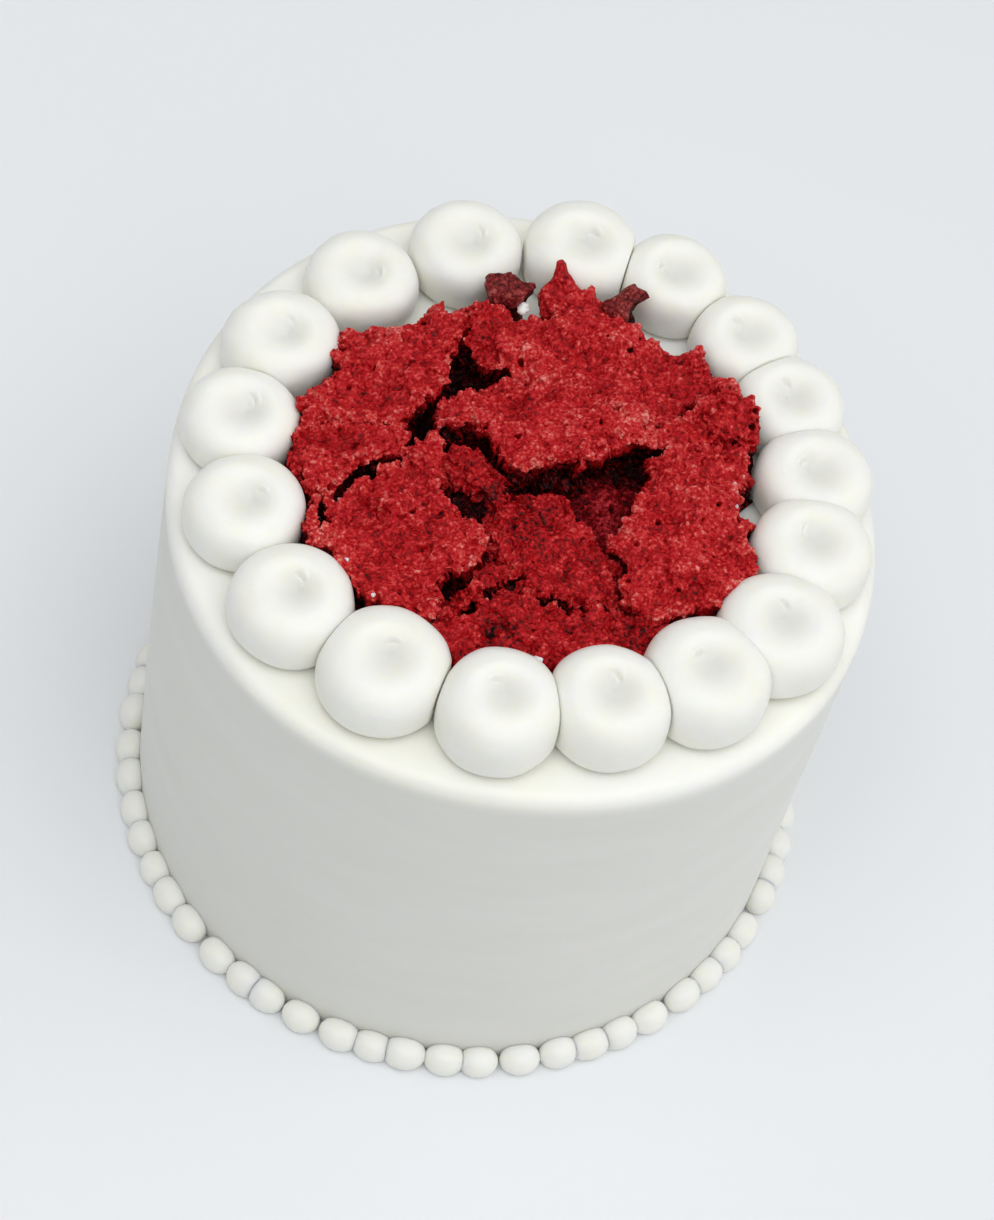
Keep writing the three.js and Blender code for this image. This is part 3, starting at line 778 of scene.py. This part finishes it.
# %% Plan of the heap
TORN_PIECES = [
    dict(name="sponge_back_left", level="back", outline=[
        (-53.2, 1.3), (-49.7, 4.7), (-47.7, 9.7), (-46.3, 13.3), (-47.4, 19.1), (-46.6, 24.6),
        (-41.9, 26.1), (-38.8, 25.6), (-37.1, 25.9), (-36, 30.6), (-32.6, 31.7), (-30.2, 35.5),
        (-22.6, 39.1), (-21.7, 32.2), (-23.2, 27.3), (-23.5, 22.2), (-23.9, 16.8), (-24.5, 13.2),
        (-26.4, 9.1), (-28, 6.3), (-29.6, 3), (-32.7, 0.9), (-40.8, -1.1), (-51.1, -4.8)],
        heights=[
        (-51.7, -2.4, 9), (-46.5, 19.3, 9.5), (-39.7, 24.4, 10), (-30.4, 34.2, 10.5),
        (-23, 37.7, 11), (-23.3, 28.1, 11), (-24.2, 16.1, 13), (-27, 8.1, 13.5),
        (-32.8, 3.4, 12.5), (-43.3, 0.2, 10.5), (-43.3, 10.2, 10)]),
    dict(name="sponge_left", level="left", outline=[
        (-51.1, -4.8), (-40.8, -1.1), (-32.7, 0.9), (-29.2, 1.4), (-27.6, -0.9), (-28, -4.2),
        (-29.4, -7.1), (-31.6, -10), (-35.2, -11.7), (-38, -15.3), (-40.6, -18.3), (-42.7, -20.9),
        (-45.1, -21.6), (-50.6, -16.4), (-52.3, -14.7)],
        heights=[
        (-50.9, -14.9, 8.5), (-49.7, -6.1, 9.5), (-40.4, -2.6, 10.5), (-31, 0.6, 12),
        (-28.6, -1.2, 11.5), (-31.2, -8.8, 11), (-37.9, -13.6, 10.5), (-43, -20.2, 9)]),
    dict(name="sponge_sliver", level="sliver", outline=[
        (-44.9, -22.4), (-42.4, -23), (-40.6, -30.9), (-38.6, -35.4), (-43.5, -35.3), (-44, -29.2)],
        heights=[
        (-44, -23.8, 8.5), (-41, -33.7, 8)]),
    dict(name="sponge_front_left", level="front_left", outline=[
        (-26.4, -3.4), (-24.5, -1.7), (-22.9, 1.4), (-20.8, 2), (-19.3, -0.9), (-19.4, -4.6),
        (-17.9, -7.5), (-17.9, -10.8), (-17.8, -14.1), (-14.7, -16.5), (-11.5, -17.7), (-8, -18.6),
        (-5.7, -20.3), (-4.9, -24.4), (-7, -27.8), (-9.4, -31.2), (-11.6, -35.3), (-12.8, -38.1),
        (-13, -41.9), (-12.9, -45.5), (-17.6, -45.8), (-24.1, -45.7), (-29.9, -44.2),
        (-34.9, -38.3), (-37.7, -35.4), (-40.7, -23.6), (-37.6, -19.1), (-34.1, -14.7),
        (-28.7, -10.2), (-27.2, -6.7)],
        heights=[
        (-38.7, -34.4, 8.5), (-40.4, -24, 8), (-36.4, -20.1, 9), (-27.5, -10.4, 10.5),
        (-21.9, -0.3, 12), (-18.5, -7.7, 12), (-16.5, -15.4, 12.5), (-6.5, -20.6, 13.5),
        (-5.7, -24.4, 13), (-9.9, -31.1, 11.5), (-12.7, -41.2, 9.5), (-20.3, -43.5, 9.5),
        (-31.8, -40.3, 9.5), (-23.6, -28.5, 11)]),
    dict(name="sponge_middle", level="low", outline=[
        (-19.4, -4.6), (-18.1, -2.2), (-15.7, -0.9), (-12.3, -0.1), (-9.5, -1.8), (-6.8, -3.8),
        (-4.5, -6.4), (-3, -9.6), (-3.1, -13.5), (-4.4, -17.8), (-5.7, -20.3), (-8, -18.6),
        (-7.9, -16.1), (-9, -13.9), (-11.5, -12.7), (-14.2, -12.2), (-16.5, -11.8), (-17.9, -10.8),
        (-17.9, -7.5)],
        heights=[
        (-18.7, -3.5, 10.5), (-12.9, -0.3, 11), (-5, -6.3, 11.5), (-3, -12.7, 10),
        (-4.9, -17.9, 8.5), (-10.7, -16.4, 4.5), (-15, -14.9, 5), (-16.8, -8.5, 6.5),
        (-7.9, -8.6, 11)]),
    dict(name="sponge_middle_front", level="low", outline=[
        (-3, -9.6), (0.8, -7.3), (4.6, -6.2), (8, -6.3), (10.6, -8.2), (11.8, -11.4),
        (15.2, -13.7), (17.8, -16.2), (19.2, -19), (22.6, -21.6), (23.9, -25.5), (25.4, -29.8),
        (21.1, -32.5), (14.9, -34.6), (11.4, -32.4), (8.9, -34), (6.4, -34.7), (3.5, -30),
        (-0.6, -28), (-4.9, -24.4), (-5.7, -20.3), (-4.4, -17.8), (-3.1, -13.5)],
        heights=[
        (-3, -9.6, 9), (4, -6.4, 10.5), (9.8, -7.9, 10.5), (18, -15.9, 10), (19.4, -18.7, 9),
        (23.4, -23.7, 7), (25, -30, 7), (16.7, -32.5, 7), (16.5, -25.8, 8), (11.1, -26.1, 10),
        (6, -33.5, 10.5), (2.8, -28.6, 10.5), (-4.9, -24.2, 7), (-5.1, -20.1, 7),
        (4.9, -17.1, 10)]),
    dict(name="sponge_front_ridge", level="low", outline=[
        (-12.1, -44.2), (-12, -41.8), (-9.4, -39.5), (-7.8, -36.6), (-6.7, -33.6), (-9.4, -31.2),
        (-7, -27.8), (-4.9, -24.4), (-0.6, -28), (3.4, -29.5), (0.1, -31.5), (-2.6, -34.2),
        (-5, -37.9), (-6.9, -41.1), (-9.2, -44.4)],
        heights=[
        (-11.8, -42.5, 9), (-8.4, -37.8, 10.5), (-5.6, -32.5, 10), (-1.4, -29.3, 10),
        (2.9, -29.1, 10), (-4.8, -24.9, 7.5)]),
    dict(name="sponge_front", level="front", outline=[
        (-12.9, -45.5), (-9.1, -44.9), (-6.2, -42.2), (-3.9, -38.9), (-1.5, -35.7), (1, -32.9),
        (4.1, -30.9), (6.6, -35.5), (9.7, -36.1), (12.8, -35.2), (14.9, -34.8), (21.1, -32.5),
        (25.4, -29.8), (29.5, -30.8), (33.4, -32.8), (35.5, -34.8), (34.5, -40.4), (32.2, -45.7),
        (24.3, -49.9), (14.3, -54.1), (3.9, -55.9), (-5.4, -57.8), (-10.6, -52.4)],
        heights=[
        (-9.5, -48.2, 7), (-3.4, -41.1, 7.5), (6.6, -36.8, 7.5), (21.4, -34.2, 7.5),
        (32.2, -33.7, 8), (10.3, -44.9, 6.5), (22.7, -41.2, 6.5), (-3.4, -51.6, 6),
        (1.7, -34.3, 6), (13.8, -51.7, 5), (28.1, -47.4, 5)]),
    dict(name="sponge_right", level="back", outline=[
        (24.7, 9), (24.3, 6), (25, 3.4), (23.9, -0.3), (25.1, -3.3), (24.8, -6.7), (22.8, -9.2),
        (22, -12.2), (19.4, -13.8), (19.3, -16.8), (21.2, -19), (23.8, -20.9), (24.6, -25.3),
        (25.4, -29.8), (29.5, -30.8), (33.4, -32.8), (40.3, -29.7), (45.6, -24.9), (50.4, -17.5),
        (51.8, -15), (49.3, -0.9), (44.8, 6.1), (46.7, 12.9), (46.1, 19.6), (35, 14.7),
        (28.2, 12.6)],
        heights=[
        (24.8, 8.5, 13), (24.1, -0.2, 13), (24.4, -7.1, 12.5), (20.1, -15.2, 11),
        (22.1, -20.1, 10.5), (24.9, -27.3, 9), (32.9, -31.6, 8.5), (41.9, -26.3, 9.5),
        (49, -16, 10.5), (48.7, -6.6, 12), (45.9, 3.7, 12.5), (44.8, 17.5, 12), (35.3, 13.1, 12),
        (30, 4.4, 13), (37.8, -15.3, 11.5)]),
    dict(name="sponge_right_back", level="right_back", outline=[
        (23.4, 16.6), (26.8, 20.5), (31.1, 24.7), (32.8, 28.2), (35.8, 31.1), (41.2, 33.1),
        (44.1, 32.3), (46.4, 28.9), (46.6, 24.9), (46.1, 19.6), (35, 14.7), (28.2, 12.6),
        (24.1, 12.2)],
        heights=[
        (24.3, 14, 12), (27, 19.1, 13), (32.9, 27.6, 16.4), (41.3, 32.3, 16.4), (45.8, 28.7, 16),
        (45.9, 20.7, 12), (34.9, 15.5, 11.5), (26.4, 12.3, 12)]),
    dict(name="sponge_back", level="back", outline=[
        (-22.6, 39.1), (-17.9, 40.9), (-9.8, 41), (-5.1, 40.4), (-2.7, 46), (-0.1, 50.5),
        (5.8, 50.2), (10.9, 47.9), (15.5, 45.5), (19.1, 43.3), (22.2, 41.6), (26.3, 42),
        (31.9, 40.8), (33.7, 37.8), (35.7, 35.8), (39.5, 36.7), (41.2, 33.1), (35.8, 31.1),
        (32.8, 28.2), (31.1, 24.7), (26.8, 20.5), (23.4, 16.6), (20.9, 17.5), (11.2, 20.9),
        (1.8, 22.6), (-8.3, 21.7), (-12.1, 23.4), (-15.7, 23.2), (-18.9, 25.4), (-21.7, 27.8),
        (-21.7, 32.2)],
        heights=[
        (-21.8, 37.5, 12), (-9.5, 39.1, 12), (0.2, 49.1, 13), (16.6, 42.2, 12), (30.9, 39.3, 12.5),
        (39.8, 34.7, 13), (30.9, 26.1, 12), (19.8, 24.1, 11.5), (1.5, 24.2, 11), (-10, 22.3, 9.5),
        (-15.6, 24.1, 9), (-21.6, 27.2, 9.5)]),
    dict(name="sponge_back_lobe", level="back", outline=[
        (-23.3, 8.4), (-22.8, 10.5), (-20.7, 12.1), (-17.8, 13.5), (-16.6, 16.5), (-12.9, 18.5),
        (-8.3, 21.7), (1.8, 22.6), (11.2, 20.9), (20.9, 17.5), (23.4, 16.6), (24.1, 12.2),
        (22.1, 12.2), (17.9, 11.7), (14.9, 9.4), (13.5, 6.1), (12.1, 4), (10.2, 2), (8.2, 3.1),
        (2.5, 1), (-0.4, -1), (-3.4, -2.8), (-5.4, -2), (-7.4, 0.2), (-10.5, 3.5), (-13.3, 4.9),
        (-15.6, 5.3), (-18.2, 3.4), (-20.8, 4), (-22, 2.5), (-23.3, 5.5)],
        heights=[
        (-22.8, 9.4, 10.5), (-17, 14.1, 11), (-9.6, 20.1, 10.5), (2, 21.5, 11.5), (21.2, 15.9, 12),
        (23.9, 13.8, 12), (14.5, 10.4, 13.5), (13.1, 4.8, 14), (2.4, 1.6, 14), (-4.6, -2.8, 13.5),
        (-11.6, 4.3, 13), (-19.6, 4.7, 11.5), (-0.2, 9.3, 13)]),
]
PLAN_STEP = 0.2  # mm between the points of a torn surface
PLAN_HEIGHT = 11  # mm over the frosting at which the outlines lie
LEVEL_LIFT = {"low": -2.2, "front": -1.6, "back": 0.35}  # mm
EYE = (0.06, -444.2, 597.3)  # mm, over the frosting: where the outlines were seen from
RIM_ROUNDING, RIM_FALL = 1.8, 1.1  # mm
plan_x, plan_y = np.meshgrid(
    np.arange(-58, 56, PLAN_STEP), np.arange(-56, 52, PLAN_STEP), indexing="ij"
)


# %% Torn borders
def torn_plan():
    """Which piece owns each point of the plan, and how far the point lies outside all of
    them. The place of a point is warped at 5, 2 and 0.9 mm before it is measured. Soft noise
    is added to the distance, which splits the borders open by a hair here and there."""
    place = np.stack([plan_x, plan_y, 0 * plan_x], axis=-1)
    for size, amount, seed in ((5, 0.9, 61), (2, 0.8, 62), (0.9, 0.42, 63)):
        place = warped(place, size, amount, seed)
    x, y = place[..., 0], place[..., 1]
    distances = np.stack([outline_distance(x, y, piece["outline"]) for piece in TORN_PIECES])
    split = 0.4 * np.clip(soft_noise(place, 3, 64), 0, 1)
    return distances, distances.argmin(axis=0), distances.min(axis=0) + split


piece_distances, owner, outside = torn_plan()
print("cracks and surroundings:", round(100 * float((outside > 0.1).mean())), "% of the plan")


# %% Surface of a level
def pieces_of(level):
    """The numbers of the torn pieces that lie on one level."""
    return [i for i, piece in enumerate(TORN_PIECES) if piece["level"] == level]


def level_surface(level):
    """The smooth top of all the pieces of one level: each piece's own height between its
    knots, blended over the borders by exp(-distance / 1.4 mm), with slow lumps and torn
    ridges (1 - 2 |noise|), and rounded off over the last 1.8 mm before a crack. Points move
    towards where the outlines were seen from as they rise over the plan's height, so that
    the outlines keep their look."""
    members = pieces_of(level)
    weight = [np.exp(-np.clip(piece_distances[i], -8, 30) / 1.4) for i in members]
    heights = [knot_height(plan_x, plan_y, TORN_PIECES[i]["heights"]) for i in members]
    total = sum(w * height for w, height in zip(weight, heights))
    surface = total / sum(weight) + LEVEL_LIFT.get(level, 0)
    rise = surface - PLAN_HEIGHT
    x = plan_x + rise * (EYE[0] - plan_x) / (EYE[2] - PLAN_HEIGHT)
    y = plan_y + rise * (EYE[1] - plan_y) / (EYE[2] - PLAN_HEIGHT)
    flat = np.stack([x, y, 0 * x], axis=-1)
    ridges = 1 - 2 * abs(soft_noise(warped(flat, 6, 2, 73), 8, 72))
    surface = surface + 1.5 * rough_noise(flat, 9, 71, 2) + 1.5 * ridges
    rim = np.clip(1 + outside / RIM_ROUNDING, 0, 1)
    return np.stack([x, y, surface - RIM_FALL * (1 - np.sqrt(1 - rim**2))], axis=-1)


# %% [markdown]
# ## The torn pieces
#
# The pieces that hang together lie on one level, so each level gets one surface with one
# crumb, and neighbours meet without a step. Where a piece ends, its wall drops ragged and
# dark to the frosting. A Solidify modifier would hang an even skirt there. These walls are
# drawn in under the rim, as torn sponge overhangs, and carry the same crumb.

# %% Crumb of a level
LEVEL_SHADE = {"low": -0.1, "front": -0.06, "front_left": 0.03, "back": 0.04}  # painted shade: lower levels darker, higher ones a little lighter
GRIT = 0.02  # mm


def level_crumb(level, seed=80):
    """The level's surface pushed along its upward direction, which is the cross product of
    its two grid directions, by the crumb relief. Each point also moves by up to 0.02 mm of
    pure chance, as grit. Along a torn rim the crumb is rougher and paler, the paleness a
    painted highlight, and each level's colour is shifted by its painted shade."""
    surface = level_surface(level)
    up = np.cross(np.gradient(surface, axis=0), np.gradient(surface, axis=1))
    up /= np.linalg.norm(up, axis=-1, keepdims=True)
    relief, reading = np.zeros_like(outside), np.zeros_like(outside)
    used = np.isin(owner, pieces_of(level)) & (outside < 0.5)
    used |= np.roll(used, 1, axis=0) | np.roll(used, 1, axis=1)
    used |= np.roll(used, 1, axis=0) | np.roll(used, 1, axis=1)
    rim = smooth_step(-3.0, -0.3, outside)
    relief[used], reading[used] = crumb_relief(surface[used], seed, 1 + rim[used])
    grit = np.random.default_rng(seed).uniform(-GRIT, GRIT, surface.shape)
    # Painted highlight along the torn rims, and painted shade by level.
    shade = reading + 0.1 * rim + LEVEL_SHADE.get(level, 0)
    return surface + up * relief[..., None] + grit, shade


# %% Torn walls
WALL_ROWS, UNDERCUT = 14, 0.9  # rows of points, mm


def cut_cells(cells):
    """The chosen cells of a sheet as faces. Gives the grid points that they use, the faces,
    which of those points lie on the border, and the border's edges, anticlockwise."""
    columns = cells.shape[1] + 1
    i, j = np.nonzero(cells)
    a = i * columns + j
    quads = np.stack([a, a + columns, a + columns + 1, a + 1], axis=-1)
    free = np.pad(cells, 1)
    sides = (
        (free[1:-1, :-2], 0, 1), (free[2:, 1:-1], 1, 2),
        (free[1:-1, 2:], 2, 3), (free[:-2, 1:-1], 3, 0),
    )
    edges = [quads[~beyond[i, j]][:, [start, end]] for beyond, start, end in sides]
    used, flat = np.unique(quads, return_inverse=True)
    rim, edges = np.unique(np.searchsorted(used, np.concatenate(edges)), return_inverse=True)
    return used, flat.reshape(-1, 4), rim, edges.reshape(-1, 2)


def away_from(distance):
    """Level direction away from the torn pieces: the slope of the distance outside them."""
    slope = np.stack(np.gradient(distance), axis=-1)
    return slope / np.maximum(np.linalg.norm(slope, axis=-1, keepdims=True), 1e-6)


def torn_wall(top, out, seed, undercut):
    """Under every rim point hangs a column down to the frosting, closer together near the
    rim, drawn in by the undercut, warped at 4 and 1.5 mm and roughened by the crumb relief.
    Also gives its colour reading, darkened as painted shade to nearly black within a third
    of the way down, where the crack shades the wall."""
    fall = (np.arange(1, WALL_ROWS + 1) / WALL_ROWS)[:, None] ** 1.3
    drawn = undercut * np.interp(fall, [0, 0.4, 1], [0, 1, 0.7])
    wall = np.empty((WALL_ROWS, len(top), 3))
    wall[..., :2] = top[:, :2] - drawn[..., None] * out
    wall[..., 2] = np.maximum(top[:, 2], 0.5) * (1 - fall)
    loose = smooth_step(0, 0.3, fall)[..., None]
    wall = warped(warped(wall, 4, 1.3 * loose, seed + 1), 1.5, 0.6 * loose, seed + 2)
    relief, shade = crumb_relief(wall, seed)
    relief = np.clip(relief, -1.5, 1) * smooth_step(0, 0.15, fall)
    wall[..., :2] += relief[..., None] * out
    # Painted shade: the wall's colour falls towards black down the crack.
    return wall, shade * (1 - 0.95 * smooth_step(0.02, 0.3, fall))


# %% Torn pieces
def sheet_piece(name, cells, points, reading, distance, material, seed, undercut=UNDERCUT):
    """Cuts the cells out of a sheet and closes them with a torn wall, whose lowest points
    close to one point in the middle. Gives the points of its top."""
    used, quads, rim, edges = cut_cells(cells)
    top, shade = points.reshape(-1, 3)[used], reading.ravel()[used]
    at_crack = distance.ravel()[used][rim] > -0.35
    out = away_from(distance).reshape(-1, 2)[used][rim] * at_crack[:, None]
    wall, wall_shade = torn_wall(top[rim], out, seed, undercut)
    ids = len(used) + np.arange(WALL_ROWS * len(rim)).reshape(WALL_ROWS, -1)
    hanging = np.concatenate([rim[None], ids])
    start, end = hanging[:, edges[:, 0]], hanging[:, edges[:, 1]]
    fall_quads = np.stack([start[:-1], start[1:], end[1:], end[:-1]], axis=-1).reshape(-1, 4)
    middle = len(used) + WALL_ROWS * len(rim)
    floor = np.stack([end[-1], start[-1], np.full(len(edges), middle)], axis=-1)
    centre = [*wall[-1, :, :2].mean(axis=0), 0]
    points = np.concatenate([top, wall.reshape(-1, 3), [centre]])
    shade = np.concatenate([shade, wall_shade.ravel(), [0]])
    points[:, 2] = np.maximum(points[:, 2], 0) + CAKE_HEIGHT + 0.05
    make_piece(
        name + "_crumb", points, np.concatenate([quads, fall_quads]), floor, material,
        "red_sponge", [name], np.clip(shade, 0, 1), smooth=False,
    )
    return points[: len(used)]


torn_points = []
for level in sorted({piece["level"] for piece in TORN_PIECES}):
    points, reading = level_crumb(level)
    for index in pieces_of(level):
        cells = ((owner == index) & (outside < 0.1))[:-1, :-1]
        torn_points.append(sheet_piece(
            TORN_PIECES[index]["name"], cells, points, reading, outside, red_crumb, 90 + index,
        ))

# %% [markdown]
# ## Loose crumbs
#
# Three small pieces stick up at the back of the heap: two brown ones from the outside of the
# layer, where the crust darkened in the oven, and a red one torn to a point. Each could be a
# remeshed lump. The disc with a wall does the same with rows where they are needed, and an
# outline gives each its shape.

# %% Loose crumbs
CELL = 0.3  # mm between the points of a loose crumb
LOOSE_ROUNDING, LOOSE_FALL = 2.5, 1.6  # mm


def loose_piece(name, top, outline, material, slot, seed, peak, undercut=0.1, rough=0.7):
    """The cap skin over an outline. Height at the top is the piece's height, less a slope
    times the distance from its peak (x, y, slope). It rounds off over the last 2.5 mm, and
    its wall is drawn in by the undercut. The whole is warped at 5 and 2 mm and pushed
    outwards by the crumb relief."""
    middle = np.mean(np.array(outline, float), axis=0)
    widest = np.max(np.linalg.norm(np.array(outline) - middle, axis=1))
    across, down = int(np.ceil(widest / CELL)), int(np.ceil(top / CELL))
    share, direction, depth, quads, triangles = cap_skin(across, down)
    reach = reach_of(outline, middle, direction) - 0.1
    drawn = undercut * np.interp(depth, [0, 0.1, 0.4, 1], [0, 0.3, 1, 0.8])
    out = share * reach * (1 - drawn)
    x, y = out * np.cos(direction), out * np.sin(direction)
    surface = top - peak[2] * np.hypot(middle[0] + x - peak[0], middle[1] + y - peak[1])
    rim = np.clip(1 - (1 - share) * reach / LOOSE_ROUNDING, 0, 1)
    surface = surface - LOOSE_FALL * (1 - np.sqrt(1 - rim**2))
    points = np.stack([middle[0] + x, middle[1] + y, surface * (1 - depth)], axis=-1)
    points = warped(warped(points, 5.0, 0.9, seed + 1), 2.0, 0.4, seed + 2)
    relief, reading = crumb_relief(points, seed, rough)
    # Painted shade: darker down the wall.
    reading = reading * (1 - 0.6 * smooth_step(0.05, 0.5, depth))
    points = points + outward(points, quads) * 0.8 * relief[:, None]
    points[:, 2] = np.where(depth == 1, 0, np.maximum(points[:, 2], 0)) + CAKE_HEIGHT + 0.05
    make_piece(
        name + "_crumb", points, quads, triangles, material, slot, [name],
        np.clip(reading, 0, 1), smooth=False,
    )


loose_piece(
    "crumb_dark", 17,
    [(-20, 45.5), (-15, 48.6), (-8.4, 47.7), (-10, 44.4), (-12.4, 41.5), (-18, 40.5)],
    dark_crust, "dark_sponge", 1300, peak=(-15, 46.5, 0.35), undercut=0.2, rough=0.5,
)
loose_piece(
    "crumb_spike", 17.6,
    [(-7.6, 46.5), (-6.2, 51), (-4.9, 54), (-2, 52.3), (2, 49), (5, 49), (3, 43), (-5, 42)],
    red_crumb, "red_sponge", 1400, peak=(-4.4, 52.5, 0.7),
)
loose_piece(
    "crumb_brown", 16,
    [(6, 46.6), (10.2, 50.8), (13.2, 53), (17.3, 51), (15, 49), (11.7, 44.8), (7.5, 44.5)],
    dark_crust, "dark_sponge", 1500, peak=(13.5, 51, 0.25), undercut=0.5, rough=0.4,
)

# %% [markdown]
# ## Bits of frosting
#
# A few flecks of buttercream came off the dollops and stuck to the rim of the heap and to
# one dollop. They could be scattered by a particle system. There are only seven, each in a
# known place, so each is a ball pushed out of round by noise.

# %% Bits of frosting
# Torn off the dollops and stuck to the heap's rim: x, y, radius in mm. The last one hangs on
# the shoulder of the front dollop, at its own height.
FROSTING_BITS = (
    (-10.2, 41.4, 1.4), (-33.5, -36.4, 0.5), (-26, -43.6, 0.5), (45.4, 1.8, 0.5), (44, 7.1, 0.4),
    (-33, 30.5, 0.5), (10.6, -50.6, 1.4, 10.6),
)


def frosting_bits(spokes=28, rows=16):
    """Balls flattened to 0.7 of their height and pushed out or in by a third of their radius
    by rough noise, all in one mesh. Each sits at the height of the nearest torn point."""
    tilt = np.linspace(-np.pi / 2, np.pi / 2, rows)
    spoke = np.linspace(0, 2 * np.pi, spokes, endpoint=False)
    t, d = np.meshgrid(tilt, spoke, indexing="ij")
    ball = np.stack([np.cos(t) * np.cos(d), np.cos(t) * np.sin(d), 0.7 * np.sin(t)], axis=-1)
    torn = np.concatenate(torn_points)
    balls = []
    for x, y, radius, *height in FROSTING_BITS:
        nearest = torn[np.argmin(np.hypot(torn[:, 0] - x, torn[:, 1] - y)), 2] - CAKE_HEIGHT
        place = np.array([x, y, CAKE_HEIGHT + (height[0] if height else nearest + 0.2 * radius)])
        push = 1 + 0.35 * rough_noise(ball + place, 0.8, 51)[..., None]
        balls.append(ring_skin(place + radius * push * ball))
    return joined(balls)


make_piece("frosting_bits", *frosting_bits(), piped_buttercream, "piped_frosting")

# %% [markdown]
# ## The bed of crumb
#
# Between the pieces one looks down on loose crumb that fills the ring. It is seen only in
# the cracks and in one hollow, and it is darker there than anything else, because light
# hardly gets in. It could be left to the shadows alone, but those stay too pale in bright
# studio light, so the bed has a deeper red and a lowered reading as painted shade, less so in
# the hollow.

# %% Bed of crumb
BED_REACH = (44, 41, 38, 36, 39, 44, 45, 42, 43, 42, 40, 41)  # mm, every 30 degrees from +X
BED_HEIGHT, HOLLOW_RISE, BED_ROUGH = 2.8, 2.2, 1.3  # mm, mm, and times the crumb relief
HOLLOW = (19, -5, 11)  # x, y and reach of the hollow where the bed is seen


def bed_of_crumb(seed=7):
    """The sheet again, over every second point of the plan: 3 mm high with lumps, highest in the
    hollow by 2.2 exp(-distance² / reach²) mm. Its colour reading is lowered by 0.45 as painted
    shade and raised in the hollow by 0.68 times the same exp, so it is dim red there."""
    turn = np.radians(30 * np.arange(12))
    outline = np.stack([BED_REACH * np.cos(turn), BED_REACH * np.sin(turn)], axis=-1)
    x, y = plan_x[::2, ::2], plan_y[::2, ::2]
    ragged = 0.8 * soft_noise(np.stack([x, y, 0 * x], axis=-1), 3, seed)
    distance = outline_distance(x, y, outline) + ragged
    hollow = np.exp(-((x - HOLLOW[0]) ** 2 + (y - HOLLOW[1]) ** 2) / HOLLOW[2] ** 2)
    points = np.stack([x, y, BED_HEIGHT + HOLLOW_RISE * hollow], axis=-1)
    relief, reading = crumb_relief(points, seed)
    points[..., 2] += BED_ROUGH * relief
    # Painted shade over the whole bed, lifted in the hollow.
    shade = reading - 0.45 + 0.68 * hollow
    cells = (distance < 0)[:-1, :-1]
    sheet_piece("sponge_bed", cells, points, shade, distance, shaded_crumb, seed, undercut=0)


bed_of_crumb()

# %% [markdown]
# ## The floor
#
# A plain pale floor, large enough to fill the view, with a faint cool tint. It could curve
# up into a wall, as in a photographer's sweep, but from this high up only the floor is seen.

# %% Floor
FLOOR_REACH = 4  # m from the middle to each side


def studio_floor():
    """A square of matt paint in two close shades, mottled slowly."""
    material, tree, output, place = new_material("matt_paint")
    mottle = add(tree, "ShaderNodeTexNoise", {"Vector": place, "Scale": 4.0, "Detail": 2.0})
    shader = add(tree, "ShaderNodeBsdfPrincipled", {
        "Base Color": ramp(tree, mottle.outputs["Fac"], ((0.3, "#EDEFF2"), (0.7, "#F0F2F5"))),
        "Roughness": 0.8,
    })
    tree.links.new(shader.outputs["BSDF"], output.inputs["Surface"])
    mesh = bpy.data.meshes.new("floor")
    signs = ((-1, -1), (1, -1), (1, 1), (-1, 1))
    corners = [(FLOOR_REACH * x, FLOOR_REACH * y, 0) for x, y in signs]
    mesh.from_pydata(corners, [], [(0, 1, 2, 3)])
    mesh.materials.append(material)
    floor = bpy.data.objects.new("floor", mesh)
    bpy.context.scene.collection.objects.link(floor)
    print("floor", 2 * FLOOR_REACH, "m across")


studio_floor()
